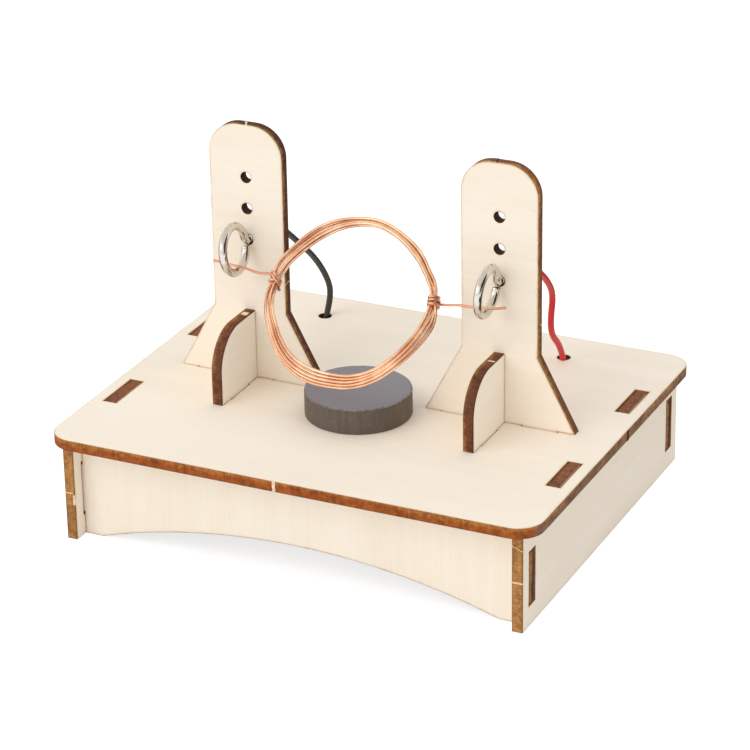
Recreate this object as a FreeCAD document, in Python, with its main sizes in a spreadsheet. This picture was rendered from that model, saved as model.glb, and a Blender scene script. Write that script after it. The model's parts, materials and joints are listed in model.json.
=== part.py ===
import FreeCAD, Part
import math
import os

import Sketcher

# Demonstration electric motor: a laser-cut plywood stand, two screw eyes that carry a hand-wound
# coil over a disc magnet, and a single-cell battery holder hidden under the deck.
# Frame: X runs along the coil's axle, Y to the back, Z up. The origin is on the table, under the
# middle of the deck. Lengths are millimetres and angles are degrees.

SIZES = [
    # the deck and the base under it
    ("plate_length", 96.7, "deck, along X"),
    ("plate_depth", 79.4, "deck, along Y"),
    ("plate_corner", 5.0, "radius of the deck's corners"),
    ("ply", 2.1, "thickness of the plywood"),
    ("table_gap", 2.35, "gap between the cell under the deck and the table"),
    ("side_overhang", 2.7, "deck edge past the side panels' outer faces"),
    ("end_overhang", 1.8, "deck edge past the side panels' ends"),
    ("panel_setback", 3.1, "front and rear panels behind the side panels' ends"),
    ("arch_foot", 3.55, "flat foot at each end of the front and rear panels' arch"),
    ("arch_rise", 6.2, "height of that arch"),
    # tabs and slots
    ("deck_tab_length", 9.8, "side panel's tabs through the deck"),
    ("deck_tab_offset", 16.7, "middle of those tabs from the deck's middle"),
    ("end_tab_height", 9.9, "front and rear panels' tabs through the side panels"),
    ("end_tab_middle", 9.3, "middle of those tabs above the table"),
    ("slot_play", 0.35, "gap round a tab in an open slot"),
    ("foot_tab_length", 7.0, "tabs under the uprights and gussets"),
    ("foot_tab_offset", 8.0, "middle of an upright's tabs from its middle"),
    ("foot_tab_play", 0.1, "gap round those tabs"),
    # uprights and gussets
    ("upright_gap", 0.35, "between the coil's widest side and its upright's edge, along X"),
    ("upright_height", 50.5, "above the deck"),
    ("upright_width", 15.0, "width of the straight part"),
    ("upright_foot", 29.8, "width at the deck"),
    ("flare_height", 13.9, "where the foot starts to flare"),
    ("upright_corner", 6.0, "radius of the top corners"),
    ("hole_bore", 2.0, "holes for the screw eyes"),
    ("hole_pitch", 6.15, "between the holes"),
    ("gusset_reach", 14.2, "gusset in front of its upright"),
    ("gusset_height", 13.8, "gusset above the deck"),
    ("gusset_corner", 7.6, "radius of the gusset's corner"),
    # screw eyes
    ("eye_wire", 1.6, "wire of the screw eyes"),
    ("eye_radius", 4.35, "middle of the wire from the ring's centre"),
    ("eye_neck_radius", 1.2, "bend from the ring into the shank"),
    ("eye_mouth_angle", 20.0, "where the ring's free end stops, below the shank"),
    ("eye_standoff", 0.3, "gap between the ring and the upright"),
    ("eye_thread_play", 0.02, "gap round the thread in its hole"),
    ("eye_thread_start", 0.26, "smooth shank inside the upright, before the thread"),
    ("eye_thread_length", 6.4, "threaded length with its point"),
    ("eye_point_length", 1.8, "tapered point"),
    ("eye_tip_width", 0.32, "blunt tip of that point"),
    ("left_eye_twist", -7.0, "left eye turned about its shank"),
    ("right_eye_twist", 4.5, "right eye turned about its shank"),
    # magnet
    ("magnet_width", 20.0, "magnet's diameter"),
    ("magnet_height", 5.0, "magnet's thickness"),
    ("magnet_edge", 0.3, "chamfer of the magnet's edges"),
    ("magnet_y", -7.6, "magnet's middle, along Y"),
    # coil and axle
    ("copper_wire", 0.6, "enamelled copper wire"),
    ("coil_radius", 15.7, "middle of the bundle of turns"),
    ("coil_bundle", 2.3, "diameter of the bundle of turns"),
    ("coil_shift", 0.7, "coil's centre left of the deck's middle"),
    ("coil_drop", 2.4, "coil's centre below the axle, in the coil's plane"),
    ("coil_gap", 0.45, "between the magnet and the coil as it turns"),
    ("coil_lean", 41.0, "coil's plane leans back from upright at rest"),
    ("binding_wall", 0.6, "wraps that tie the bundle"),
    ("binding_length", 1.9, "length of the wraps along the bundle"),
    ("binding_play", 0.06, "gap between the wraps and the bundle"),
    ("axle_play", 0.05, "gap between the axle and the inside of the rings"),
    ("axle_left_reach", 4.5, "left end of the axle past its screw eye's middle"),
    ("axle_right_reach", 3.6, "right end of the axle past its screw eye's middle"),
    # leads
    ("lead_bore", 2.4, "lead holes through the deck"),
    ("lead_hole_y", 30.2, "lead holes, along Y"),
    ("lead_width", 1.2, "insulated lead"),
    ("lead_core", 0.6, "bared strands of a lead"),
    ("wrap_gap", 0.25, "between the upright's back and the bared wrap"),
    ("wrap_play", 0.03, "gap between the bared wrap and the thread"),
    ("wrap_length", 1.9, "length of the bared wrap along the shank"),
    ("tail_length", 5.2, "bared end at the battery holder"),
    ("tail_offset", 2.0, "bared end outside the battery holder's end wall"),
    ("tail_gap", 0.1, "between the bared end and the solder tab above it"),
    # battery holder
    ("holder_length", 58.0, "battery holder, along X"),
    ("cell_proud", 1.15, "cell below the battery holder's mouth"),
    ("holder_wall", 1.2, "side walls"),
    ("holder_end_wall", 1.4, "end walls and floor"),
    ("holder_y", 6.0, "battery holder's middle, along Y"),
    ("holder_notch", 5.5, "radius of the finger notches in the side walls"),
    ("holder_corner", 1.5, "radius of the holder's upright corners"),
    ("tape_thickness", 1.0, "foam tape between the holder and the deck"),
    ("tape_length", 44.0, "foam tape, along X"),
    ("tape_depth", 12.0, "foam tape, along Y"),
    ("cell_width", 14.0, "cell's diameter"),
    ("cell_length", 50.3, "cell with its contact button"),
    ("cell_button_width", 5.4, "contact button's diameter"),
    ("cell_button_height", 1.3, "contact button's height"),
    ("cell_edge", 0.8, "rounded shoulder of the cell's can"),
    ("cell_play", 0.25, "gap between the cell and the holder"),
    ("contact_thickness", 0.4, "sheet metal of the contacts"),
    ("contact_width", 9.0, "contacts, along Y"),
    ("contact_height", 9.6, "contacts, along Z"),
    ("dimple_width", 2.8, "dimple of the positive contact, at its foot"),
    ("dimple_top_width", 1.4, "the same dimple, at its top"),
    ("dimple_height", 0.5, "height of that dimple"),
    ("contact_tab_width", 3.0, "solder tabs, along Y"),
    ("contact_tab_length", 3.4, "solder tabs outside the end walls"),
    ("contact_tab_drop", 2.6, "solder tabs below the contacts' top edge"),
    ("contact_tab_play", 0.05, "gap round the solder tabs in the end walls"),
    ("spring_wire", 0.6, "wire of the conical spring"),
    ("spring_base", 4.0, "radius of the spring's first turn"),
    ("spring_top", 2.4, "radius of the spring's last turn"),
    ("spring_turns", 3.0, "turns of the spring"),
    ("spring_play", 0.05, "gap at each end of the spring"),
]

# The routes of the two leads, chosen point by point: X from the upright's middle, Y, and the
# height above the deck's top face. The runs between the points are joined by tangent arcs.
BLACK_LEAD_ROUTE = [
    (1.5, 4.4, 27.9),
    (1.5, 9.0, 27.9),
    (1.3, 13.8, 24.6),
    (0.9, 19.2, 19.6),
    (0.6, 24.6, 15.0),
    (0.3, 29.4, 9.6),
    (0.1, 32.0, 4.6),
    (0.0, 30.2, -1.2),
    (-0.1, 29.8, -6.4),
    (-0.8, 27.6, -10.8),
    (-2.6, 23.2, -12.0),
    (-4.6, 18.5, -9.8),
    (-5.6, 14.0, -7.95),
    (-5.6, 10.0, -7.95),
]
RED_LEAD_ROUTE = [
    (1.5, 4.4, 27.9),
    (1.5, 8.9, 27.9),
    (1.3, 13.8, 25.6),
    (1.1, 18.6, 21.4),
    (0.7, 23.0, 16.4),
    (0.4, 22.4, 11.2),
    (0.3, 25.0, 6.6),
    (-0.1, 29.5, 3.0),
    (-0.1, 30.0, -2.6),
    (0.0, 29.8, -7.8),
    (0.9, 27.0, -11.6),
    (2.9, 22.6, -12.4),
    (4.8, 18.3, -10.0),
    (5.6, 14.0, -7.95),
    (5.6, 10.0, -7.95),
]
ARC_SHARE = 0.45  # share of the shorter run that an arc takes up

BAD_STATES = ("Invalid", "Error")
VOLUME_TOLERANCE = 0.01


class Size:
    """A length or angle that carries its number and the sheet formula it comes from."""

    def __init__(self, number, formula=None):
        self.number = number
        self.formula = repr(number) if formula is None else formula

    def joined(self, sign, other, number):
        return Size(number, f"({self.formula} {sign} {other.formula})")

    def __add__(self, other):
        other = as_size(other)
        return self.joined("+", other, self.number + other.number)

    def __sub__(self, other):
        other = as_size(other)
        return self.joined("-", other, self.number - other.number)

    def __mul__(self, other):
        other = as_size(other)
        return self.joined("*", other, self.number * other.number)

    def __truediv__(self, other):
        other = as_size(other)
        return self.joined("/", other, self.number / other.number)

    def __neg__(self):
        return Size(-self.number, f"(-1 * {self.formula})")

    __radd__ = __add__
    __rmul__ = __mul__

    def __rsub__(self, other):
        return as_size(other) - self


def as_size(value):
    return value if isinstance(value, Size) else Size(value)


def root(size):
    return Size(math.sqrt(size.number), f"sqrt({size.formula})")


def sine(size):
    return Size(math.sin(math.radians(size.number)), f"sin({size.formula} * 1 deg)")


def cosine(size):
    return Size(math.cos(math.radians(size.number)), f"cos({size.formula} * 1 deg)")


def arc_sine(size):
    return Size(math.degrees(math.asin(size.number)), f"(asin({size.formula}) / 1 deg)")


class Sheet:
    """The driving dimensions: each alias is an attribute that gives its Size."""

    def __init__(self, doc):
        cells = doc.addObject("Spreadsheet::Sheet", "Sizes")
        for row, (alias, number, note) in enumerate(SIZES, 1):
            cells.set(f"A{row}", alias)
            cells.set(f"B{row}", str(number))
            cells.set(f"C{row}", note)
            cells.setAlias(f"B{row}", alias)
            setattr(self, alias, Size(number, f"Sizes.{alias}"))
        doc.recompute()


doc = FreeCAD.newDocument("DemonstrationMotor")
s = Sheet(doc)

# Levels and places that more than one piece uses. The base is as tall as the cell under it needs,
# the screw eyes are as high as the turning coil needs, and the uprights stand clear of its sides.
cell_room = s.holder_end_wall + s.cell_play + s.cell_width
panel_height = s.tape_thickness + cell_room + s.table_gap
deck_top = panel_height + s.ply
side_outer = s.plate_length / 2 - s.side_overhang
side_inner = side_outer - s.ply
side_half = s.plate_depth / 2 - s.end_overhang
panel_outer = side_half - s.panel_setback
coil_half = s.coil_radius + s.coil_bundle / 2
upright_x = coil_half + s.coil_shift + s.upright_gap + s.upright_width / 2
upright_back = s.ply / 2
axle_drop = s.eye_radius - s.eye_wire / 2 - s.axle_play - s.copper_wire / 2
eye_height = s.magnet_height + s.coil_gap + coil_half + s.coil_drop + axle_drop
eye_z = deck_top + eye_height
eye_outer = s.eye_radius + s.eye_wire / 2
eye_y = -(upright_back + s.eye_standoff + eye_outer)
eye_thread = s.hole_bore - 2 * s.eye_thread_play
axle_z = eye_z - axle_drop
holder_top = panel_height - s.tape_thickness
holder_height = cell_room - s.cell_proud
holder_width = s.cell_width + 2 * (s.cell_play + s.holder_wall)
holder_half = s.holder_length / 2
holder_inner = holder_half - s.holder_end_wall
contact_top = holder_top - s.holder_end_wall - s.cell_play
contact_tab_z = contact_top - s.contact_tab_drop
cell_z = contact_top - s.cell_width / 2
dimple_x = holder_inner - s.contact_thickness
cell_front = dimple_x - s.dimple_height - s.spring_play


# ---------------------------------------------------------------- helpers

def bind(thing, name, value):
    """Tie a property to the sheet."""
    thing.setExpression(name, as_size(value).formula)


def place(thing, x=0.0, y=0.0, z=0.0, turns=()):
    """Put a sub-part where the sheet says. turns are (axis letter, angle), the outermost first."""
    axes = {"X": "vector(1; 0; 0)", "Y": "vector(0; 1; 0)", "Z": "vector(0; 0; 1)"}
    spot = "; ".join(as_size(value).formula for value in (x, y, z))
    rotations = [f"rotation({axes[axis]}; {as_size(angle).formula})" for axis, angle in turns]
    rotation = " * ".join(rotations) if rotations else f"rotation({axes['Z']}; 0)"
    thing.setExpression("Placement", f"placement(vector({spot}); {rotation})")


def new_body(name):
    body = doc.addObject("PartDesign::Body", name)
    body.Label = name
    return body


def primitive(kind, name, **sizes):
    """A Part primitive or boolean whose sizes are tied to the sheet."""
    thing = doc.addObject(f"Part::{kind}", name)
    thing.Label = name
    for key, value in sizes.items():
        bind(thing, key, value)
    return thing


def new_sketch(body, name, plane, offset=None):
    """A sketch on one of the body's own origin planes, moved along the plane's normal."""
    sketch = body.newObject("Sketcher::SketchObject", f"{body.Name}_{name}")
    support = next(item for item in body.Origin.OriginFeatures if item.Role == plane)
    sketch.AttachmentSupport = [(support, "")]
    sketch.MapMode = "FlatFace"
    if offset is not None:
        bind(sketch, "AttachmentOffset.Base.z", offset)
    return sketch


def pin(sketch, kind, edge, point, value):
    """Hold a point of a sketch edge at a DistanceX or DistanceY from the sketch's origin."""
    value = as_size(value)
    index = sketch.addConstraint(Sketcher.Constraint(kind, -1, 1, edge, point, value.number))
    bind(sketch, f"Constraints[{index}]", value)


def pin_point(sketch, edge, point, x, y):
    pin(sketch, "DistanceX", edge, point, x)
    pin(sketch, "DistanceY", edge, point, y)


def outline(sketch, corners):
    """A closed outline through the corners, each held by the sheet."""
    first = sketch.GeometryCount
    spots = [FreeCAD.Vector(as_size(x).number, as_size(y).number, 0) for x, y in corners]
    count = len(spots)
    for index, spot in enumerate(spots):
        sketch.addGeometry(Part.LineSegment(spot, spots[(index + 1) % count]))
    for index, (x, y) in enumerate(corners):
        following = first + (index + 1) % count
        sketch.addConstraint(Sketcher.Constraint("Coincident", first + index, 2, following, 1))
        pin_point(sketch, first + index, 1, x, y)


def rectangle(sketch, x, y, width, height):
    """A rectangle about its middle."""
    x, y = as_size(x), as_size(y)
    left, right = x - width / 2, x + width / 2
    low, high = y - height / 2, y + height / 2
    outline(sketch, [(left, low), (right, low), (right, high), (left, high)])


def circle(sketch, x, y, diameter):
    x, y, diameter = as_size(x), as_size(y), as_size(diameter)
    centre = FreeCAD.Vector(x.number, y.number, 0)
    upward = FreeCAD.Vector(0, 0, 1)
    edge = sketch.addGeometry(Part.Circle(centre, upward, diameter.number / 2))
    pin_point(sketch, edge, 3, x, y)
    index = sketch.addConstraint(Sketcher.Constraint("Diameter", edge, diameter.number))
    bind(sketch, f"Constraints[{index}]", diameter)


def pad(body, sketch, length):
    feature = body.newObject("PartDesign::Pad", f"{body.Name}_pad")
    feature.Profile = sketch
    bind(feature, "Length", length)
    doc.recompute()
    return feature


def pocket(body, sketch, depth, through=False):
    """Cut the sketch along its plane's normal, and check that the cut took something away."""
    before = body.Shape.Volume
    feature = body.newObject("PartDesign::Pocket", f"{sketch.Name}_pocket")
    feature.Profile = sketch
    feature.Reversed = not through
    feature.Midplane = through
    bind(feature, "Length", depth)
    doc.recompute()
    if body.Shape.Volume > before - VOLUME_TOLERANCE:
        raise RuntimeError(f"{sketch.Name} cuts nothing")
    return feature


def revolve(body, sketch, axis, name="revolution"):
    feature = body.newObject("PartDesign::Revolution", f"{body.Name}_{name}")
    feature.Profile = sketch
    feature.ReferenceAxis = (sketch, [axis])
    feature.Angle = 360
    doc.recompute()
    return feature


def near(first, second):
    return abs(first - second) < 1e-4


def round_edges(body, feature, length, wanted, radius):
    """Round the edges of that length whose two ends both pass the test."""
    names = []
    for index, edge in enumerate(feature.Shape.Edges, 1):
        if near(edge.Length, length.number) and all(wanted(end.Point) for end in edge.Vertexes):
            names.append(f"Edge{index}")
    fillet = body.newObject("PartDesign::Fillet", f"{body.Name}_fillet")
    fillet.Base = (feature, names)
    bind(fillet, "Radius", radius)
    doc.recompute()
    return fillet


# ---------------------------------------------------------------- plywood

def deck_plate():
    body = new_body("deck_plate")
    sketch = new_sketch(body, "outline", "XY_Plane")
    rectangle(sketch, 0, 0, s.plate_length, s.plate_depth)
    slot_width = s.ply + 2 * s.slot_play
    tight_width = s.ply + 2 * s.foot_tab_play
    tight_length = s.foot_tab_length + 2 * s.foot_tab_play
    side_x = side_outer - s.ply / 2
    for side in (-1, 1):
        for end in (-1, 1):
            slot_length = s.deck_tab_length + 2 * s.slot_play
            rectangle(sketch, side * side_x, end * s.deck_tab_offset, slot_width, slot_length)
            tab_x = side * upright_x + end * s.foot_tab_offset
            rectangle(sketch, tab_x, 0, tight_length, tight_width)
        tab_y = -(upright_back + s.gusset_reach / 2)
        rectangle(sketch, side * upright_x, tab_y, tight_width, tight_length)
        circle(sketch, side * upright_x, s.lead_hole_y, s.lead_bore)
    feature = pad(body, sketch, s.ply)

    def at_corner(point):
        on_end = near(abs(point.x), s.plate_length.number / 2)
        return on_end and near(abs(point.y), s.plate_depth.number / 2)

    round_edges(body, feature, s.ply, at_corner, s.plate_corner)
    place(body, z=panel_height)
    return body


def end_panel(name, outer_y):
    """The front or rear panel: arched below, with a tab at each end. outer_y is its plus-Y face."""
    body = new_body(name)
    sketch = new_sketch(body, "outline", "XZ_Plane")
    low = s.end_tab_middle - s.end_tab_height / 2
    high = s.end_tab_middle + s.end_tab_height / 2
    half_arch = side_inner - s.arch_foot
    corners = [
        (half_arch, 0), (side_inner, 0), (side_inner, low),
        (side_outer, low), (side_outer, high), (side_inner, high),
        (side_inner, panel_height), (-side_inner, panel_height), (-side_inner, high),
        (-side_outer, high), (-side_outer, low), (-side_inner, low),
        (-side_inner, 0), (-half_arch, 0),
    ]
    arched_outline(sketch, corners, half_arch)
    pad(body, sketch, s.ply)
    place(body, y=outer_y)
    return body


def arched_outline(sketch, corners, half_arch):
    """An open outline through the corners, closed by the arch from the last to the first."""
    spots = [FreeCAD.Vector(as_size(x).number, as_size(y).number, 0) for x, y in corners]
    for index in range(len(spots) - 1):
        sketch.addGeometry(Part.LineSegment(spots[index], spots[index + 1]))
    crown = FreeCAD.Vector(0, s.arch_rise.number, 0)
    arch = sketch.addGeometry(Part.Arc(spots[-1], crown, spots[0]))
    lines = len(spots) - 1
    for index in range(lines - 1):
        sketch.addConstraint(Sketcher.Constraint("Coincident", index, 2, index + 1, 1))
    for index, (x, y) in enumerate(corners[:-1]):
        pin_point(sketch, index, 1, x, y)
    pin_point(sketch, lines - 1, 2, *corners[-1])
    # The arc runs counter-clockwise, from its right end over the crown to its left end.
    sketch.addConstraint(Sketcher.Constraint("Coincident", arch, 1, 0, 1))
    sketch.addConstraint(Sketcher.Constraint("Coincident", arch, 2, lines - 1, 2))
    radius = (half_arch * half_arch + s.arch_rise * s.arch_rise) / (2 * s.arch_rise)
    index = sketch.addConstraint(Sketcher.Constraint("Radius", arch, radius.number))
    bind(sketch, f"Constraints[{index}]", radius)


def side_panel(name, x):
    """A side panel: two tabs up through the deck and a slot near each end. x is its low-X face."""
    body = new_body(name)
    sketch = new_sketch(body, "outline", "YZ_Plane")
    corners = [(-side_half, 0), (side_half, 0), (side_half, panel_height)]
    for end in (1, -1):
        middle = end * s.deck_tab_offset
        back = middle + s.deck_tab_length / 2
        front = middle - s.deck_tab_length / 2
        corners += [(back, panel_height), (back, deck_top), (front, deck_top), (front, panel_height)]
    corners.append((-side_half, panel_height))
    outline(sketch, corners)
    slot_height = s.end_tab_height + 2 * s.slot_play
    for end in (-1, 1):
        slot_y = end * (panel_outer - s.ply / 2)
        rectangle(sketch, slot_y, s.end_tab_middle, s.ply + 2 * s.slot_play, slot_height)
    pad(body, sketch, s.ply)
    place(body, x=x)
    return body


def upright(name, x):
    """An upright: a flared foot with two tabs, three holes and two rounded top corners."""
    body = new_body(name)
    sketch = new_sketch(body, "outline", "XZ_Plane")
    foot, half = s.upright_foot / 2, s.upright_width / 2
    corners = [(foot, 0), (half, s.flare_height), (half, s.upright_height)]
    corners += [(-half, s.upright_height), (-half, s.flare_height), (-foot, 0)]
    for end in (-1, 1):
        left = end * s.foot_tab_offset - s.foot_tab_length / 2
        right = end * s.foot_tab_offset + s.foot_tab_length / 2
        corners += [(left, 0), (left, -s.ply), (right, -s.ply), (right, 0)]
    outline(sketch, corners)
    for step in range(3):
        circle(sketch, 0, eye_height + step * s.hole_pitch, s.hole_bore)
    feature = pad(body, sketch, s.ply)

    def at_top(point):
        on_side = near(abs(point.x), s.upright_width.number / 2)
        return on_side and near(point.z, s.upright_height.number)

    round_edges(body, feature, s.ply, at_top, s.upright_corner)
    place(body, x=x, y=upright_back, z=deck_top)
    return body


def gusset(name, x):
    """A gusset in front of an upright, with one tab through the deck."""
    body = new_body(name)
    sketch = new_sketch(body, "outline", "YZ_Plane")
    middle = s.gusset_reach / 2
    back, front = middle - s.foot_tab_length / 2, middle + s.foot_tab_length / 2
    outline(sketch, [
        (-s.gusset_reach, 0), (-front, 0), (-front, -s.ply),
        (-back, -s.ply), (-back, 0), (0, 0),
        (0, s.gusset_height), (-s.gusset_reach, s.gusset_height),
    ])
    feature = pad(body, sketch, s.ply)

    def at_nose(point):
        return near(point.y, -s.gusset_reach.number) and near(point.z, s.gusset_height.number)

    round_edges(body, feature, s.ply, at_nose, s.gusset_corner)
    place(body, x=x - s.ply / 2, y=-upright_back, z=deck_top)
    return body


# ---------------------------------------------------------------- screw eyes and magnet

def screw_eye(name, x, twist):
    """A ring of round wire on a shank: the ring's centre is the origin, the shank runs to plus Y."""
    body = new_body(name)
    reach = s.eye_radius + s.eye_neck_radius
    neck = root(reach * reach - s.eye_neck_radius * s.eye_neck_radius)
    lean = arc_sine(s.eye_neck_radius / reach)
    path = new_sketch(body, "path", "YZ_Plane")
    upward = FreeCAD.Vector(0, 0, 1)
    neck_centre = FreeCAD.Vector(neck.number, s.eye_neck_radius.number, 0)
    meeting = math.radians(lean.number)
    mouth = math.radians(-s.eye_mouth_angle.number)
    bend = path.addGeometry(Part.ArcOfCircle(
        Part.Circle(neck_centre, upward, s.eye_neck_radius.number),
        math.pi + meeting, 1.5 * math.pi))
    ring = path.addGeometry(Part.ArcOfCircle(
        Part.Circle(FreeCAD.Vector(), upward, s.eye_radius.number),
        meeting, 2 * math.pi + mouth))
    pin_point(path, bend, 3, neck, s.eye_neck_radius)
    pin_point(path, bend, 2, neck, 0)
    pin(path, "DistanceY", bend, 1, s.eye_radius * sine(lean))
    path.addConstraint(Sketcher.Constraint("Coincident", ring, 3, -1, 1))
    path.addConstraint(Sketcher.Constraint("Coincident", ring, 1, bend, 1))
    pin(path, "DistanceY", ring, 2, -s.eye_radius * sine(s.eye_mouth_angle))

    section = new_sketch(body, "section", "XZ_Plane", offset=-neck)
    circle(section, 0, 0, s.eye_wire)
    doc.recompute()
    pipe = body.newObject("PartDesign::AdditivePipe", f"{name}_pipe")
    pipe.Profile = section
    pipe.Spine = (path, ["Edge1", "Edge2"])
    doc.recompute()

    shank = new_sketch(body, "shank", "YZ_Plane")
    thread_start = eye_outer + s.eye_standoff + s.eye_thread_start
    tip = thread_start + s.eye_thread_length
    smooth_radius, thread_radius = s.eye_wire / 2, eye_thread / 2
    outline(shank, [
        (neck, 0), (tip, 0), (tip, s.eye_tip_width / 2),
        (tip - s.eye_point_length, thread_radius), (thread_start, thread_radius),
        (thread_start, smooth_radius), (neck, smooth_radius),
    ])
    revolve(body, shank, "H_Axis", "shank_revolution")
    place(body, x=x, y=eye_y, z=eye_z, turns=[("Y", twist)])
    return body


def disc_magnet():
    body = new_body("disc_magnet")
    sketch = new_sketch(body, "outline", "XY_Plane")
    circle(sketch, 0, 0, s.magnet_width)
    feature = pad(body, sketch, s.magnet_height)
    chamfer = body.newObject("PartDesign::Chamfer", "disc_magnet_chamfer")
    rims = [f"Edge{index}" for index, edge in enumerate(feature.Shape.Edges, 1)
            if len(edge.Vertexes) == 1]
    chamfer.Base = (feature, rims)
    bind(chamfer, "Size", s.magnet_edge)
    place(body, y=s.magnet_y, z=deck_top)
    return body


# ---------------------------------------------------------------- coil and axle

def coil_winding():
    """The bundle of turns, as one ring about its own Y axis."""
    body = new_body("coil_winding")
    sketch = new_sketch(body, "section", "XY_Plane")
    circle(sketch, s.coil_radius, 0, s.coil_bundle)
    revolve(body, sketch, "V_Axis")
    centre_y = eye_y - s.coil_drop * sine(s.coil_lean)
    centre_z = axle_z - s.coil_drop * cosine(s.coil_lean)
    place(body, x=-s.coil_shift, y=centre_y, z=centre_z, turns=[("X", -s.coil_lean)])
    return body


def coil_binding(name, side):
    """The wraps round the bundle where an axle end leaves it."""
    body = new_body(name)
    bore = s.coil_bundle + 2 * s.binding_play
    sketch = new_sketch(body, "section", "XY_Plane", offset=-s.binding_length / 2)
    circle(sketch, 0, 0, bore)
    circle(sketch, 0, 0, bore + 2 * s.binding_wall)
    pad(body, sketch, s.binding_length)
    slant = arc_sine(s.coil_drop / s.coil_radius)
    x = side * s.coil_radius * cosine(slant) - s.coil_shift
    place(body, x=x, y=eye_y, z=axle_z, turns=[("X", -s.coil_lean), ("Y", -side * slant)])
    return body


def axle_wire(name, side, reach):
    """One straight end of the coil's wire, from its binding to its free end past the screw eye."""
    slant = arc_sine(s.coil_drop / s.coil_radius)
    wraps = s.coil_bundle / 2 + s.binding_play + s.binding_wall
    start = s.coil_radius * cosine(slant) - side * s.coil_shift + wraps / cosine(slant)
    start = start + s.binding_play
    height = upright_x + reach - start
    wire = primitive("Cylinder", name, Radius=s.copper_wire / 2, Height=height)
    place(wire, x=side * start, y=eye_y, z=axle_z, turns=[("Y", side * 90)])
    return wire


# ---------------------------------------------------------------- leads

def route_edges(points):
    """Straight runs joined by tangent arcs, and the radii of the arcs."""
    edges, radii = [], []
    start = points[0]
    for before, corner, after in zip(points, points[1:], points[2:]):
        back, forward = before - corner, after - corner
        reach = ARC_SHARE * min(back.Length, forward.Length)
        turn = math.pi - back.getAngle(forward)
        radius = reach / math.tan(turn / 2)
        back.normalize()
        forward.normalize()
        enter, leave = corner + back * reach, corner + forward * reach
        inward = (back + forward).normalize()
        middle = corner + inward * (radius / math.cos(turn / 2) - radius)
        edges.append(Part.LineSegment(start, enter).toShape())
        edges.append(Part.Arc(enter, middle, leave).toShape())
        radii.append(radius)
        start = leave
    edges.append(Part.LineSegment(start, points[-1]).toShape())
    return edges, radii


def insulated_lead(name, side, route):
    """A lead, swept along its route from the screw eye through the deck to the holder."""
    points = [FreeCAD.Vector(out, y, up) for out, y, up in route]
    edges, radii = route_edges(points)
    path = Part.Wire(edges)
    half = s.lead_width.number / 2
    section = Part.Wire(Part.Circle(points[0], points[1] - points[0], half).toShape())
    tube = path.makePipeShell([section], True, False)
    expected = math.pi * half * half * path.Length
    print(f"{name}: {path.Length:.1f} mm, radii", [round(radius, 1) for radius in radii])
    if abs(tube.Volume / expected - 1) > VOLUME_TOLERANCE:
        raise RuntimeError(f"{name} has {tube.Volume} mm3, not {expected}")
    lead = doc.addObject("Part::Feature", name)
    lead.Label = name
    lead.Shape = tube
    place(lead, x=side * upright_x, z=deck_top)
    return lead


def eye_wrap(name, side, route):
    """The bared strands: a wrap round the screw eye's shank and a tail that runs to the lead."""
    start_y = upright_back + s.wrap_gap
    inside = eye_thread / 2 + s.wrap_play
    lead_x, lead_y, _ = route[0]
    outer = primitive("Cylinder", f"{name}_outside", Radius=inside + s.lead_core,
                      Height=s.wrap_length)
    inner = primitive("Cylinder", f"{name}_inside", Radius=inside, Height=s.wrap_length)
    tail = primitive("Cylinder", f"{name}_tail", Radius=s.lead_core / 2,
                     Height=lead_y - start_y - s.wrap_length / 2)
    collar = doc.addObject("Part::Cut", f"{name}_collar")
    collar.Base, collar.Tool = outer, inner
    whole = doc.addObject("Part::Fuse", name)
    whole.Label = name
    whole.Base, whole.Tool = collar, tail
    # The collar is built along Z, and the whole piece is then laid along Y.
    place(tail, x=lead_x, z=s.wrap_length / 2)
    place(whole, x=side * upright_x, y=start_y, z=eye_z, turns=[("X", -90)])
    return whole


def lead_tail(name, side, route):
    """The bared strands under the holder's solder tab, from the end of the lead's route."""
    tail = primitive("Cylinder", name, Radius=s.lead_core / 2, Height=s.tail_length)
    x = side * (holder_half + s.tail_offset)
    z = contact_tab_z - (s.contact_thickness + s.lead_core) / 2 - s.tail_gap
    place(tail, x=x, y=route[-1][1], z=z, turns=[("X", 90)])
    return tail


# ---------------------------------------------------------------- battery holder

def battery_holder():
    """An open tray, mouth down: the cell is pushed in from below."""
    body = new_body("battery_holder")
    sketch = new_sketch(body, "outline", "XY_Plane")
    rectangle(sketch, 0, 0, s.holder_length, holder_width)
    feature = pad(body, sketch, holder_height)

    def at_corner(point):
        on_end = near(abs(point.x), s.holder_length.number / 2)
        return on_end and near(abs(point.y), holder_width.number / 2)

    round_edges(body, feature, holder_height, at_corner, s.holder_corner)

    cavity = new_sketch(body, "cavity", "XY_Plane")
    rectangle(cavity, 0, 0, 2 * holder_inner, holder_width - 2 * s.holder_wall)
    pocket(body, cavity, holder_height - s.holder_end_wall)

    notch = new_sketch(body, "notch", "XZ_Plane")
    circle(notch, 0, 0, 2 * s.holder_notch)
    pocket(body, notch, 2 * holder_width, through=True)

    tab_slot = new_sketch(body, "tab_slot", "YZ_Plane")
    tab_z = contact_tab_z - holder_top + holder_height
    slot_width = s.contact_tab_width + 2 * s.contact_tab_play
    slot_height = s.contact_thickness + 2 * s.contact_tab_play
    rectangle(tab_slot, 0, tab_z, slot_width, slot_height)
    pocket(body, tab_slot, 2 * s.holder_length, through=True)
    place(body, y=s.holder_y, z=holder_top - holder_height)
    return body


def holder_foam_tape():
    tape = primitive("Box", "holder_foam_tape", Length=s.tape_length, Width=s.tape_depth,
                     Height=s.tape_thickness)
    place(tape, x=-s.tape_length / 2, y=s.holder_y - s.tape_depth / 2, z=holder_top)
    return tape


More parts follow.
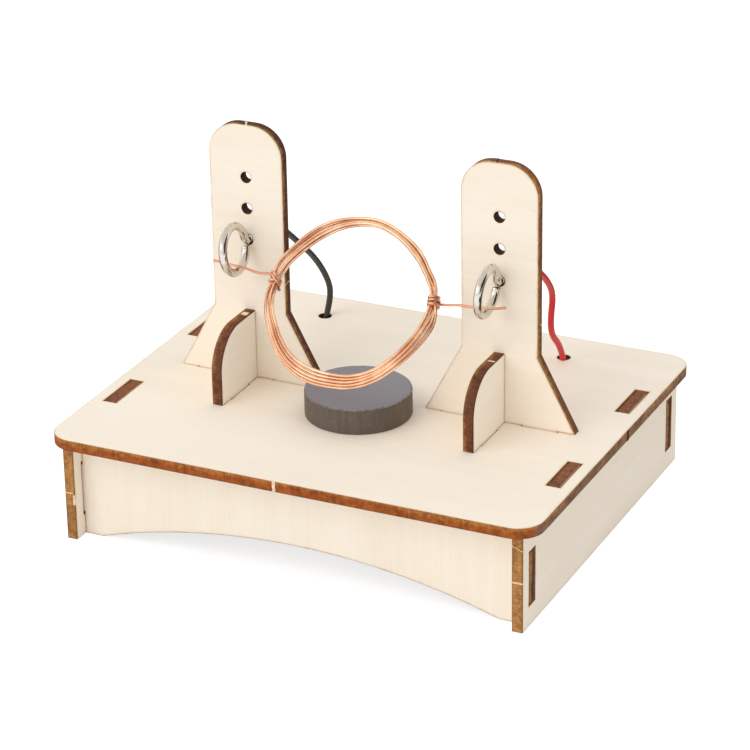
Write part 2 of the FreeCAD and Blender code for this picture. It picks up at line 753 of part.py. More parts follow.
def contact(name, side):
    """A contact plate against an end wall, with a solder tab out through the wall."""
    plate = primitive("Box", f"{name}_plate", Length=s.contact_thickness, Width=s.contact_width,
                      Height=s.contact_height)
    tab_reach = s.contact_thickness + s.holder_end_wall + s.contact_tab_length
    tab = primitive("Box", f"{name}_tab", Length=tab_reach, Width=s.contact_tab_width,
                    Height=s.contact_thickness)
    pieces = [plate, tab]
    if side > 0:
        plate_x = tab_x = dimple_x
        dimple = primitive("Cone", f"{name}_dimple", Radius1=s.dimple_width / 2,
                           Radius2=s.dimple_top_width / 2, Height=s.dimple_height)
        place(dimple, x=dimple_x, y=s.holder_y, z=cell_z, turns=[("Y", -90)])
        pieces.append(dimple)
    else:
        plate_x = -holder_inner
        tab_x = -dimple_x - tab_reach
    place(plate, x=plate_x, y=s.holder_y - s.contact_width / 2, z=contact_top - s.contact_height)
    place(tab, x=tab_x, y=s.holder_y - s.contact_tab_width / 2,
          z=contact_tab_z - s.contact_thickness / 2)
    whole = doc.addObject("Part::MultiFuse", name)
    whole.Label = name
    whole.Shapes = pieces
    return whole


def negative_spring():
    """The conical spring between the negative contact and the cell."""
    low = s.contact_thickness - holder_inner + s.spring_play
    high = cell_front - s.cell_length - s.spring_play
    height = high - low - s.spring_wire
    taper = math.degrees(math.atan((s.spring_base - s.spring_top).number / height.number))
    helix = Part.makeHelix(height.number / s.spring_turns.number, height.number,
                           s.spring_top.number, taper)
    start = helix.Edges[0].valueAt(helix.Edges[0].FirstParameter)
    along = helix.Edges[0].tangentAt(helix.Edges[0].FirstParameter)
    section = Part.Wire(Part.Circle(start, along, s.spring_wire.number / 2).toShape())
    coil = Part.Wire(helix.Edges).makePipeShell([section], True, True)
    spring = doc.addObject("Part::Feature", "negative_spring")
    spring.Label = "negative_spring"
    spring.Shape = coil
    place(spring, x=high - s.spring_wire / 2, y=s.holder_y, z=cell_z, turns=[("Y", -90)])
    return spring


def battery_cell():
    body = new_body("battery_cell")
    sketch = new_sketch(body, "profile", "XZ_Plane")
    can = s.cell_length - s.cell_button_height
    half, button = s.cell_width / 2, s.cell_button_width / 2
    outline(sketch, [
        (0, 0), (s.cell_length, 0), (s.cell_length, button),
        (can, button), (can, half - s.cell_edge), (can - s.cell_edge, half),
        (s.cell_edge, half), (0, half - s.cell_edge),
    ])
    revolve(body, sketch, "H_Axis")
    place(body, x=cell_front - s.cell_length, y=s.holder_y, z=cell_z)
    return body


# ---------------------------------------------------------------- the whole motor

nodes = [
    deck_plate(),
    end_panel("front_panel", s.ply - panel_outer),
    end_panel("rear_panel", panel_outer),
    side_panel("left_side_panel", -side_outer),
    side_panel("right_side_panel", side_inner),
    disc_magnet(),
    coil_winding(),
    battery_holder(),
    holder_foam_tape(),
    contact("negative_contact", -1),
    contact("positive_contact", 1),
    negative_spring(),
    battery_cell(),
]
for word, side, twist, axle_reach, colour, route in (
        ("left", -1, s.left_eye_twist, s.axle_left_reach, "black", BLACK_LEAD_ROUTE),
        ("right", 1, s.right_eye_twist, s.axle_right_reach, "red", RED_LEAD_ROUTE)):
    x = side * upright_x
    nodes += [
        upright(f"{word}_upright", x),
        gusset(f"{word}_gusset", x),
        screw_eye(f"{word}_screw_eye", x, twist),
        coil_binding(f"{word}_coil_binding", side),
        axle_wire(f"{word}_axle_wire", side, axle_reach),
        insulated_lead(f"{colour}_lead", side, route),
        eye_wrap(f"{colour}_lead_eye_wrap", side, route),
        lead_tail(f"{colour}_lead_tail", side, route),
    ]
doc.recompute()

for thing in doc.Objects:
    if any(state in thing.State for state in BAD_STATES):
        raise RuntimeError(f"{thing.Name} is {thing.State}")
for node in nodes:
    if node.Shape.isNull() or not node.Shape.isValid():
        raise RuntimeError(f"{node.Label} has no valid shape")

os.makedirs("parts", exist_ok=True)
for node in nodes:
    node.Shape.exportStep(f"parts/{node.Label}.step")
    size = node.Shape.BoundBox
    print(f"{node.Label}: {len(node.Shape.Solids)} solid, {node.Shape.Volume:.2f} mm3, "
          f"z {size.ZMin:.2f} to {size.ZMax:.2f}")
print(len(nodes), "nodes")
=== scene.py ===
import json
import math
import random

import bmesh
import bpy
from bpy.props import FloatProperty, FloatVectorProperty, IntProperty, PointerProperty
from mathutils import Matrix, Vector, noise


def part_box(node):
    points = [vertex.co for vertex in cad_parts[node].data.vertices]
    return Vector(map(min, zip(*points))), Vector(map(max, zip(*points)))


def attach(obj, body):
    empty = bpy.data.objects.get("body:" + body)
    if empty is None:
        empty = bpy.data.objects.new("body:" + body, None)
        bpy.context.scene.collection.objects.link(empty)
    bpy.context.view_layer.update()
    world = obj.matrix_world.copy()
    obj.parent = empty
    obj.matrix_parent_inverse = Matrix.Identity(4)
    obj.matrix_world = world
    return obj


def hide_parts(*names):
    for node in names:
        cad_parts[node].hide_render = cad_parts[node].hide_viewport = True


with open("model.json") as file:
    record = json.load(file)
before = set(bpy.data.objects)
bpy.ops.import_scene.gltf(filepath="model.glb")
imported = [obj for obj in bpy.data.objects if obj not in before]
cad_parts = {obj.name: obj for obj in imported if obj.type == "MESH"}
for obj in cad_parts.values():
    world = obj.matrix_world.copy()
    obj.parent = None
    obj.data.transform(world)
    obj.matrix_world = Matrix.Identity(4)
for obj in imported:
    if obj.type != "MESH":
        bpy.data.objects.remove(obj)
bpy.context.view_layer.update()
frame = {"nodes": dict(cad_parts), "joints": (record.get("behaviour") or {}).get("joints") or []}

bl_info = {
    "name": "Demonstration Motor",
    "version": (1, 0, 0),
    "blender": (4, 5, 0),
    "location": "View3D > Sidebar > Motor",
    "description": "Finishes a plywood demonstration motor: its stand, coil, leads and battery holder",
    "category": "Object",
}

MM = 0.001
DEGREE = math.pi / 180
WELD = 0.002 * MM        # vertices of a node's mesh that are the same corner
FLAT = 0.999             # how nearly a face points along its sheet's normal
SHARP = 35 * DEGREE      # edges that fold more than this stay crisp


def srgb(red, green, blue):
    """A colour given as the eye sees it, 0 to 255, as the linear values that shaders use."""
    shares = (level / 255 for level in (red, green, blue))
    return tuple(share / 12.92 if share < 0.04045 else ((share + 0.055) / 1.055) ** 2.4
                 for share in shares)


def shaded(tone, share):
    """A colour made darker or paler by a share of its light."""
    return tuple(min(1.0, level * share) for level in tone)


def smooth(share):
    """0 to 1 with a level start and end."""
    share = min(max(share, 0.0), 1.0)
    return share * share * (3 - 2 * share)


def node_box(node):
    low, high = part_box(node)
    return low, high, (low + high) / 2


DECK_HIGH = node_box("deck_plate")[1]
AXLE = Vector(frame["joints"][0]["pos_m"])


# ---------------------------------------------------------------- settings

def length(name, description, millimetres):
    return FloatProperty(name=name, description=description, default=millimetres * MM,
                         unit="LENGTH", min=0.0, precision=5)


def angle(name, description, degrees):
    return FloatProperty(name=name, description=description, default=degrees * DEGREE,
                         subtype="ANGLE")


def colour(name, description, *levels):
    return FloatVectorProperty(name=name, description=description, default=srgb(*levels),
                               subtype="COLOR", size=3, min=0.0, max=1.0)


class PlywoodSettings(bpy.types.PropertyGroup):
    """The sheet that the stand is cut from"""

    veneer: colour("Veneer", "Bare basswood veneer", 251, 241, 226)
    veneer_dark: colour("Veneer streaks", "Darker streaks of the veneer", 247, 235, 218)
    smoke: colour("Smoke", "Yellowed rim beside a cut", 224, 184, 116)
    scorch: colour("Scorch", "Rim of a cut edge on the side that the beam came in", 176, 124, 62)
    gilt: colour("Gilt", "Golden part of a cut edge, where the beam came in", 174, 122, 58)
    deck_front: colour("Deck edge", "Cut edge of the deck at its front and back", 156, 80, 28)
    # Deck sides: a duller tone that paints the shade on the deck's side cuts.
    deck_side_shade: colour("Deck sides", "Cut edge of the deck at its sides", 142, 104, 80)
    base_end: colour("Base ends", "Upright ends of the side panels", 174, 123, 70)
    tab_end: colour("Tab ends", "Ends of the tabs in the deck's slots", 132, 80, 52)
    # Painted shade: the tab ends deep in the side slots are coloured near black for the shade there.
    side_tab_end_shade: colour("Side tab ends", "Ends of the tabs in the side slots", 78, 47, 32)
    left_edge: colour("Left edge", "Cut edge of the left upright", 86, 50, 30)
    right_edge: colour("Right edge", "Cut edge of the right upright", 122, 74, 44)
    gusset_edge: colour("Gusset edge", "Cut edge of the gussets", 108, 64, 42)
    soot: colour("Soot", "Linings of the small holes", 84, 42, 28)
    raw_wood: colour("Raw wood", "Fibres where a holding bridge broke out", 250, 234, 212)
    edge_round: length("Edge round", "Rounding of the cut edges", 0.12)
    smoke_width: length("Smoke width", "Width of the smoked rim", 0.7)
    bridge_proud: length("Bridge height", "Height of a broken holding bridge", 0.09)


class EyeSettings(bpy.types.PropertyGroup):
    """The screw eyes that carry the coil"""

    wire: length("Wire", "Wire of the screw eyes", 1.6)
    ring_radius: length("Ring radius", "Middle of the wire from the ring's centre", 4.35)
    neck_radius: length("Neck radius", "Bend from the ring into the shank", 1.2)
    mouth: angle("Mouth", "Where the ring's free end stops, below the shank", 11.0)
    left_twist: angle("Left twist", "Left eye turned about its shank", -7.0)
    right_twist: angle("Right twist", "Right eye turned about its shank", 4.5)
    core: length("Thread core", "Diameter under the thread", 1.44)
    thread: length("Thread", "Outer diameter of the thread", 1.94)
    pitch: length("Pitch", "Pitch of the thread", 0.75)
    thread_start: length("Thread start", "Thread's first turn from the ring's centre", 5.5)
    thread_end: length("Thread end", "Point of the screw from the ring's centre", 12.1)
    point: length("Point", "Tapered point of the screw", 1.8)
    nickel: colour("Nickel", "Nickel plating", 222, 216, 207)


class MagnetSettings(bpy.types.PropertyGroup):
    """The ferrite disc"""

    edge: length("Edge", "Rounding of the rims", 0.3)
    chip: length("Chips", "Depth of the chips along the rims", 0.12)
    ground: colour("Ground face", "Ground top and bottom", 134, 130, 136)
    pressed: colour("Pressed side", "Pressed side wall", 100, 88, 77)


class CoilSettings(bpy.types.PropertyGroup):
    """The hand-wound coil, its bindings and its axle ends"""

    wire: length("Wire", "Enamelled copper wire", 0.58)
    bare_wire: length("Scraped wire", "The axle ends, scraped bare", 0.46)
    lean: angle("Lean", "Coil's plane leans back from upright", 41.0)
    turns: IntProperty(name="Turns", description="Turns over the top of the coil", default=6,
                       min=2, max=6)
    radius: length("Radius", "Middle of the bundle at the bindings", 15.9)
    wander: length("Wander", "How far a turn strays from its place", 0.05)
    knot_slip: angle("Knot slip", "How far the left knot has slid down the bundle", 4.5)
    copper: colour("Copper", "Enamelled copper", 254, 214, 182)
    copper_dark: colour("Copper shade", "Darker stretches of the enamel", 228, 174, 138)
    tied: colour("Tied copper", "Enamel rubbed pink where the wire was tied", 238, 182, 156)
    scraped: colour("Scraped copper", "Scraped axle ends", 224, 154, 132)


class LeadSettings(bpy.types.PropertyGroup):
    """The two insulated leads"""

    width: length("Width", "Insulated lead", 1.2)
    core: length("Core", "Bared bundle of strands", 0.6)
    strand: length("Strand", "One strand", 0.2)
    length_: length("Length", "Insulated length of each lead", 72.5)
    black: colour("Black", "Black insulation", 46, 44, 42)
    red: colour("Red", "Red insulation", 206, 38, 40)
    tin: colour("Tinned strands", "Tinned copper strands", 214, 196, 170)


class HolderSettings(bpy.types.PropertyGroup):
    """The battery holder under the deck"""

    plastic: colour("Holder", "Moulded holder", 44, 45, 48)
    sheet_metal: colour("Contacts", "Nickel-plated contacts", 206, 205, 200)
    jacket: colour("Cell", "Film round the cell", 58, 112, 92)
    band: colour("Cell band", "Plain band of the film", 222, 224, 216)
    steel: colour("Cell steel", "Steel ends of the cell", 196, 197, 198)
    foam: colour("Foam tape", "Foam tape", 236, 234, 226)
    edge: length("Edge", "Rounding of moulded edges", 0.18)
    spring_wire: length("Spring wire", "Wire of the conical spring", 0.6)
    spring_turns: FloatProperty(name="Spring turns", description="Turns of the spring",
                                default=3.5, min=1.0)


class StageSettings(bpy.types.PropertyGroup):
    """The floor, the lamps and the camera"""

    azimuth: angle("Azimuth", "Camera's turn to the right of the front", 25.64)
    elevation: angle("Elevation", "Camera's height above the horizon", 24.42)
    roll: angle("Roll", "Camera's roll", -0.973)
    distance: length("Distance", "Camera from its target", 608.6)
    target: FloatVectorProperty(name="Target", description="Point that the camera looks at",
                                default=(-4.32 * MM, 8.60 * MM, 21.07 * MM), subtype="XYZ",
                                unit="LENGTH")
    lens: FloatProperty(name="Lens", description="Focal length in millimetres", default=154.3)
    floor: colour("Floor", "Pale floor", 236, 234, 231)
    sky: FloatProperty(name="Sky", description="Strength of the even light", default=0.84)
    key: FloatProperty(name="Key", description="Strength of the soft key lamp", default=0.85)


SETTINGS = {
    "motor_plywood": PlywoodSettings,
    "motor_eyes": EyeSettings,
    "motor_magnet": MagnetSettings,
    "motor_coil": CoilSettings,
    "motor_leads": LeadSettings,
    "motor_holder": HolderSettings,
    "motor_stage": StageSettings,
}


def settings(group):
    """The sizes and colours of one group, as they are set now."""
    return getattr(bpy.context.scene, "motor_" + group)


# ---------------------------------------------------------------- shader parts

class Shader:
    """Adds nodes to a tree. Every method but fill and add gives back output sockets."""

    def __init__(self, tree):
        self.tree = tree

    def fill(self, socket, value):
        """Link a socket to another one, or set it. A colour gets its alpha."""
        if isinstance(value, bpy.types.NodeSocket):
            self.tree.links.new(value, socket)
        elif hasattr(value, "__len__") and len(socket.default_value) > len(value):
            socket.default_value = (*value, 1.0)
        else:
            socket.default_value = value

    def add(self, kind, inputs=None, **values):
        """A new node with its settings and its inputs."""
        node = self.tree.nodes.new("ShaderNode" + kind)
        for key, value in values.items():
            setattr(node, key, value)
        for socket, value in (inputs or {}).items():
            self.fill(node.inputs[socket], value)
        return node

    def maths(self, operation, first, second=0.0, clamp=False):
        node = self.add("Math", {0: first, 1: second}, operation=operation, use_clamp=clamp)
        return node.outputs[0]

    def times(self, first, second):
        return self.maths("MULTIPLY", first, second)

    def plus(self, first, second, clamp=False):
        return self.maths("ADD", first, second, clamp)

    def blend(self, share, first, second, kind="MIX"):
        """Two colours mixed by a share."""
        return self.add("Mix", {0: share, 6: first, 7: second}, data_type="RGBA",
                        blend_type=kind).outputs[2]

    def layers(self, tone, *layers):
        """A colour with others laid over it in turn, each with its mask and its strength."""
        for mask, strength, over in layers:
            share = mask if strength == 1.0 else self.times(mask, strength)
            tone = self.blend(share, tone, over)
        return tone

    def ranged(self, value, low, high, first=0.0, second=1.0):
        """The value's stretch from low to high, spread smoothly from first to second."""
        return self.add("MapRange", {"Value": value, "From Min": low, "From Max": high,
                                     "To Min": first, "To Max": second},
                        interpolation_type="SMOOTHSTEP").outputs[0]

    def noise(self, vector, scale, detail=2.0, roughness=0.5, distortion=0.0):
        """Noise of so many waves to the metre, the same all ways or a number for each axis."""
        if hasattr(scale, "__len__"):
            vector = self.add("VectorMath", {0: vector, 1: scale}, operation="MULTIPLY").outputs[0]
            scale = 1.0
        return self.add("TexNoise", {"Vector": vector, "Scale": scale, "Detail": detail,
                                     "Roughness": roughness, "Distortion": distortion}).outputs[0]

    def bump(self, height, depth, strength=1.0):
        """A bump whose full height is depth, in mm."""
        return self.add("Bump", {"Height": height, "Distance": depth * MM,
                                 "Strength": strength}).outputs[0]

    def place(self):
        """Object coordinates."""
        return self.add("TexCoord").outputs["Object"]

    def split(self, vector):
        return self.add("SeparateXYZ", {0: vector}).outputs

    def sheet_place(self, axes):
        """Object coordinates with the grain along X, across it along Y and through along Z.

        axes names the axes of the motor that lie those three ways.
        """
        parts = self.split(self.place())
        return self.add("CombineXYZ", {index: parts["XYZ".index(axis)]
                                       for index, axis in enumerate(axes)}).outputs[0]

    def painted(self, attribute):
        """A number that the mesh holds at each vertex."""
        return self.add("Attribute", attribute_name=attribute).outputs["Fac"]

    def group(self, name, **inputs):
        return self.add("Group", inputs, node_tree=bpy.data.node_groups[name]).outputs


class Group(Shader):
    """A new shader group. It takes a vector, and numbers that are given with their defaults."""

    def __init__(self, name, **numbers):
        super().__init__(bpy.data.node_groups.new(name, "ShaderNodeTree"))
        self.socket("Vector", "INPUT", "Vector")
        for label, default in numbers.items():
            self.socket(label, "INPUT").default_value = default
        self.entry = self.tree.nodes.new("NodeGroupInput").outputs

    def socket(self, label, direction, kind="Float"):
        return self.tree.interface.new_socket(label, in_out=direction,
                                              socket_type="NodeSocket" + kind)

    def give(self, **outputs):
        """Finish the group with its outputs, all of which are numbers."""
        for label in outputs:
            self.socket(label, "OUTPUT")
        leave = self.tree.nodes.new("NodeGroupOutput").inputs
        for label, value in outputs.items():
            self.fill(leave[label], value)


class Finish(Shader):
    """A new material with one Principled surface."""

    def __init__(self, name):
        self.material = bpy.data.materials.new(name)
        self.material.use_nodes = True
        super().__init__(self.material.node_tree)
        self.tree.nodes.clear()
        self.surface = self.add("BsdfPrincipled")
        self.add("OutputMaterial", {"Surface": self.surface.outputs[0]})

    def done(self, **values):
        """The material, once its surface's sockets are filled. An underscore is a blank."""
        for label, value in values.items():
            self.fill(self.surface.inputs[label.replace("_", " ")], value)
        return self.material


# ---------------------------------------------------------------- shader groups

def build_basswood_grain():
    """Fine streaks, a broad figure and short pores, for a sheet whose grain runs along X."""
    nodes = Group("basswood_grain")
    vector = nodes.entry["Vector"]
    streaks = nodes.noise(vector, (45, 1500, 1500), 3.0, 0.65)
    figure = nodes.noise(vector, (14, 90, 90), distortion=0.6)
    pores = nodes.noise(vector, (420, 3600, 3600), 1.0)
    shade = nodes.plus(nodes.times(streaks, 0.4), nodes.times(figure, 0.6))
    nodes.give(Shade=nodes.ranged(shade, 0.34, 0.68), Pores=nodes.ranged(pores, 0.66, 0.78),
               Height=nodes.maths("SUBTRACT", streaks, nodes.times(pores, 0.6)))


def build_smoked_rim():
    """How strongly a cut has smoked and scorched the veneer beside it. Rim is 1 at the cut."""
    nodes = Group("smoked_rim", Rim=0.0)
    vector = nodes.entry["Vector"]
    cloud = nodes.ranged(nodes.noise(vector, 260.0), 0.3, 0.7, -0.16, 0.06)
    fringe = nodes.ranged(nodes.noise(vector, 2200.0), 0.3, 0.7, -0.05, 0.05)
    reach = nodes.plus(nodes.plus(nodes.entry["Rim"], cloud), fringe, clamp=True)
    strong = nodes.times(nodes.maths("POWER", reach, 4.0), 0.4)
    nodes.give(Smoke=nodes.plus(strong, nodes.times(reach, 0.08)),
               Scorch=nodes.ranged(reach, 0.84, 1.05))


def build_charred_cut():
    """Mottling and fine striations of a laser cut. Through is -1 to 1 across the sheet.

    Gilt is where the cut is golden, near the side that the beam came in and in long patches.
    """
    nodes = Group("charred_cut", Through=0.0)
    vector, through = nodes.entry["Vector"], nodes.entry["Through"]
    mottle = nodes.noise(vector, 900.0, 4.0, 0.6)
    flecks = nodes.noise(vector, 2900.0)
    drift = nodes.noise(vector, 110.0)
    striae = nodes.noise(vector, (3800, 3800, 320))
    pale = nodes.plus(nodes.ranged(mottle, 0.5, 0.64, 0.0, 0.45),
                      nodes.ranged(flecks, 0.52, 0.66, 0.0, 0.75), clamp=True)
    dark = nodes.plus(nodes.ranged(mottle, 0.5, 0.38, 0.0, 0.6),
                      nodes.ranged(striae, 0.5, 0.36, 0.0, 0.4))
    dark = nodes.plus(dark, nodes.ranged(drift, 0.48, 0.34, 0.0, 0.4), clamp=True)
    wander = nodes.plus(nodes.ranged(drift, 0.35, 0.65, -0.25, 0.3),
                        nodes.ranged(mottle, 0.35, 0.65, -0.12, 0.12))
    nodes.give(Pale=pale, Dark=dark, Gilt=nodes.ranged(nodes.plus(through, wander), 0.1, 0.75),
               Rims=nodes.ranged(nodes.maths("ABSOLUTE", through), 0.62, 0.9),
               Exit=nodes.ranged(through, -0.7, -0.95), Corner=nodes.ranged(through, 0.93, 1.0),
               Height=nodes.plus(striae, nodes.times(mottle, 0.8)))


def build_handled_metal():
    """Uneven polish and hair scratches on drawn wire and sheet metal."""
    nodes = Group("handled_metal", Scale=900.0)
    coarse = nodes.noise(nodes.entry["Vector"], nodes.entry["Scale"], 3.0)
    hairs = nodes.noise(nodes.entry["Vector"], (900, 6500, 6500), 1.0)
    wear = nodes.plus(nodes.times(coarse, 0.7), nodes.times(hairs, 0.3))
    nodes.give(Wear=nodes.ranged(wear, 0.35, 0.68), Height=coarse)


def build_soft_skin():
    """The faint orange peel and dust of extruded or moulded plastic."""
    nodes = Group("soft_skin", Scale=2600.0)
    peel = nodes.noise(nodes.entry["Vector"], nodes.entry["Scale"])
    dust = nodes.noise(nodes.entry["Vector"], 380.0, 4.0, 0.7)
    nodes.give(Dust=nodes.ranged(dust, 0.45, 0.75), Height=peel)


# ---------------------------------------------------------------- materials

def veneer_material(axes):
    """Bare veneer with a smoked rim: the mesh's smoke attribute is 1 beside a cut."""
    plywood = settings("plywood")
    nodes = Finish(f"veneer_{axes}")
    place = nodes.sheet_place(axes)
    grain = nodes.group("basswood_grain", Vector=place)
    burnt = nodes.group("smoked_rim", Vector=nodes.place(), Rim=nodes.painted("smoke"))
    flecks = nodes.ranged(nodes.noise(place, (160, 620, 620)), 0.74, 0.84, 0.0, 0.22)
    wood = nodes.layers(
        plywood.veneer, (grain["Shade"], 1.0, plywood.veneer_dark),
        (grain["Pores"], 0.07, plywood.base_end), (flecks, 1.0, plywood.tab_end),
        (burnt["Smoke"], 1.0, plywood.smoke), (burnt["Scorch"], 0.6, plywood.scorch))
    return nodes.done(Base_Color=wood, Specular_IOR_Level=0.35,
                      Roughness=nodes.ranged(grain["Shade"], 0.0, 1.0, 0.60, 0.72),
                      Normal=nodes.bump(grain["Height"], 0.010, 0.5))


PALER, DARKER = (1.9, 1.9, 1.8), (0.38, 0.35, 0.33)   # what a cut's flecks make of its colour
# The deck's end cuts take a duller tone, as painted shade, from here outwards.
DECK_ENDS = (DECK_HIGH.x - 1.3 * MM, DECK_HIGH.x - 0.1 * MM)   # where the deck's end cuts begin


def char_material(name, axes, tone, beam_side, gilding, deck_end_shade_tone=None):
    """A laser-cut edge: the mesh's ply attribute is -1 to 1 through the sheet.

    beam_side is 1 or -1 where the part that faces that way is golden and the rest is dark, and 0
    where both rims are darker than the middle. gilding is how golden the golden part is, and
    deck_end_shade_tone is painted shade: a duller colour for the ends of the deck along X.
    """
    plywood = settings("plywood")
    nodes = Finish(name)
    signed = nodes.times(nodes.painted("ply"), float(beam_side or 1))
    cut = nodes.group("charred_cut", Vector=nodes.sheet_place(axes), Through=signed)
    wood = tone
    # The deck's ends along X take their painted shade tone.
    if deck_end_shade_tone:
        along = nodes.maths("ABSOLUTE", nodes.split(nodes.place())[0])
        wood = nodes.blend(nodes.ranged(along, *DECK_ENDS), wood, deck_end_shade_tone)
    if beam_side:
        wood = nodes.layers(wood, (cut["Gilt"], gilding, plywood.gilt))
    pale, dark = (nodes.blend(1.0, wood, share, kind="MULTIPLY") for share in (PALER, DARKER))
    wood = nodes.layers(wood, (cut["Pale"], 0.6, pale), (cut["Dark"], 0.7, dark))
    if beam_side:
        wood = nodes.layers(wood, (cut["Exit"], 0.6, dark),
                            (cut["Corner"], 0.75, plywood.veneer_dark))
    else:
        wood = nodes.layers(wood, (cut["Rims"], 0.55, dark))
    return nodes.done(Base_Color=wood, Specular_IOR_Level=0.25,
                      Roughness=nodes.ranged(cut["Pale"], 0.0, 1.0, 0.72, 0.9),
                      Normal=nodes.bump(cut["Height"], 0.03, 0.8))


def raw_wood_material():
    plywood = settings("plywood")
    nodes = Finish("raw_wood")
    fibres = nodes.noise(nodes.place(), (2600, 2600, 2600), 3.0)
    wood = nodes.blend(nodes.ranged(fibres, 0.35, 0.75), plywood.raw_wood, plywood.smoke)
    return nodes.done(Base_Color=wood, Specular_IOR_Level=0.2,
                      Roughness=nodes.ranged(fibres, 0.3, 0.7, 0.8, 0.95),
                      Normal=nodes.bump(fibres, 0.05))


def metal_material(name, tone, low, high, worn_share=0.86):
    """Plated or drawn metal, whose polish is uneven."""
    nodes = Finish(name)
    worn = nodes.group("handled_metal", Vector=nodes.place(), Scale=420.0)
    return nodes.done(Metallic=1.0,
                      Base_Color=nodes.blend(worn["Wear"], tone, shaded(tone, worn_share)),
                      Roughness=nodes.ranged(worn["Wear"], 0.0, 1.0, low, high),
                      Normal=nodes.bump(worn["Height"], 0.001, 0.5))


def ferrite_top_material():
    """The ground face of the magnet: grey, with straight grinding marks and pits."""
    tone = settings("magnet").ground
    nodes = Finish("ferrite_ground")
    place = nodes.place()
    marks = nodes.noise(place, (350, 6000, 6000))
    cloud = nodes.noise(place, 170.0, 3.0)
    pits = nodes.noise(place, 2600.0, 1.0)
    shade = nodes.plus(nodes.times(marks, 0.5), nodes.times(cloud, 0.5))
    grey = nodes.layers(shaded(tone, 0.9), (nodes.ranged(shade, 0.35, 0.65), 1.0, tone),
                        (nodes.ranged(pits, 0.68, 0.8, 0.0, 0.5), 1.0, shaded(tone, 0.5)))
    return nodes.done(Base_Color=grey, Specular_IOR_Level=0.4,
                      Roughness=nodes.ranged(shade, 0.35, 0.65, 0.42, 0.55),
                      Normal=nodes.bump(marks, 0.006, 0.6))


def ferrite_side_material():
    """The pressed side wall: brown-grey, speckled, with upright drag marks and worn rims."""
    magnet = settings("magnet")
    tone = magnet.pressed
    top = node_box("disc_magnet")[1].z
    nodes = Finish("ferrite_pressed")
    place = nodes.place()
    drags = nodes.noise(place, (1500, 1500, 160), 3.0, 0.6)
    spots = nodes.noise(place, 1500.0, 4.0, 0.75)
    rim = nodes.ranged(nodes.split(place)[2], top - 0.32 * MM, top - 0.05 * MM)
    worn = nodes.times(rim, nodes.ranged(spots, 0.42, 0.6, 0.15, 0.75))
    grey = nodes.layers(shaded(tone, 0.78), (nodes.ranged(drags, 0.36, 0.66), 1.0, tone),
                        (nodes.ranged(spots, 0.54, 0.72, 0.0, 0.55), 1.0, shaded(tone, 1.7)),
                        (nodes.ranged(spots, 0.42, 0.28, 0.0, 0.6), 1.0, shaded(tone, 0.45)),
                        (worn, 1.0, shaded(magnet.ground, 1.5)))
    return nodes.done(Base_Color=grey, Specular_IOR_Level=0.4,
                      Roughness=nodes.ranged(drags, 0.3, 0.7, 0.48, 0.66),
                      Normal=nodes.bump(drags, 0.05, 0.6))


def copper_material(name, tone, low, high):
    """Drawn copper, whose enamel is darker in places along the wire."""
    nodes = Finish(name)
    place = nodes.place()
    along = nodes.ranged(nodes.noise(place, 210.0), 0.38, 0.66)
    fine = nodes.noise(place, 1900.0)
    return nodes.done(Metallic=1.0, Coat_Weight=0.2, Coat_Roughness=0.25,
                      Base_Color=nodes.blend(along, tone, settings("coil").copper_dark),
                      Roughness=nodes.ranged(fine, 0.3, 0.7, low, high),
                      Normal=nodes.bump(fine, 0.001, 0.3))


def plastic_material(name, tone, low, high, skin_scale=2600.0, skin_depth=0.004, dusty=1.08):
    nodes = Finish(name)
    skin = nodes.group("soft_skin", Vector=nodes.place(), Scale=skin_scale)
    dust = tuple(min(1.0, level * dusty + 0.004) for level in tone)
    return nodes.done(Specular_IOR_Level=0.5, Base_Color=nodes.blend(skin["Dust"], tone, dust),
                      Roughness=nodes.ranged(skin["Dust"], 0.0, 1.0, low, high),
                      Normal=nodes.bump(skin["Height"], skin_depth, 0.6))


def foam_material():
    tone = settings("holder").foam
    nodes = Finish("foam")
    cells = nodes.add("TexVoronoi", {"Vector": nodes.place(), "Scale": 5200.0}).outputs[0]
    shade = nodes.ranged(cells, 0.2, 0.9)
    return nodes.done(Base_Color=nodes.blend(shade, tone, shaded(tone, 0.8)),
                      Specular_IOR_Level=0.2,
                      Roughness=nodes.ranged(cells, 0.0, 1.0, 0.8, 0.95),
                      Normal=nodes.bump(cells, 0.03))


def cell_jacket_material():
    """Plain film with one pale band near the button end."""
    holder = settings("holder")
    end = node_box("battery_cell")[1].x
    nodes = Finish("cell_jacket")
    along = nodes.split(nodes.place())[0]
    begin, stop = end - 13.5 * MM, end - 9.0 * MM
    band = nodes.times(nodes.ranged(along, begin, begin + 0.05 * MM),
                       nodes.ranged(along, stop, stop + 0.05 * MM, 1.0, 0.0))
    skin = nodes.group("soft_skin", Vector=nodes.place(), Scale=1500.0)
    film = nodes.layers(holder.jacket, (band, 1.0, holder.band), (skin["Dust"], 0.15, holder.band))
    return nodes.done(Base_Color=film, Coat_Weight=0.5, Coat_Roughness=0.12,
                      Roughness=nodes.ranged(skin["Dust"], 0.0, 1.0, 0.3, 0.42),
                      Normal=nodes.bump(skin["Height"], 0.004, 0.5))


# ---------------------------------------------------------------- mesh parts

def link(thing):
    bpy.context.scene.collection.objects.link(thing)
    return thing


def mesh_from(bm, name, *materials):
    mesh = bpy.data.meshes.new(name)
    bm.to_mesh(mesh)
    bm.free()
    for material in materials:
        mesh.materials.append(material)
    return mesh


def finish_mesh(name, bm, materials, slot, *nodes):
    """Turn a bmesh into a piece of the stand that stands for its nodes."""
    mesh = mesh_from(bm, name, *materials)
    stale = mesh.attributes.get("custom_normal")
    if stale:
        mesh.attributes.remove(stale)
    mesh.shade_smooth()
    mesh.set_sharp_from_angle(angle=SHARP)
    return finish_piece(name, mesh, "stand", slot, *nodes)


def finish_piece(name, data, body, slot, *nodes):
    piece = link(bpy.data.objects.new(name, data))
    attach(piece, body)
    if nodes:
        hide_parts(*nodes)
    return piece


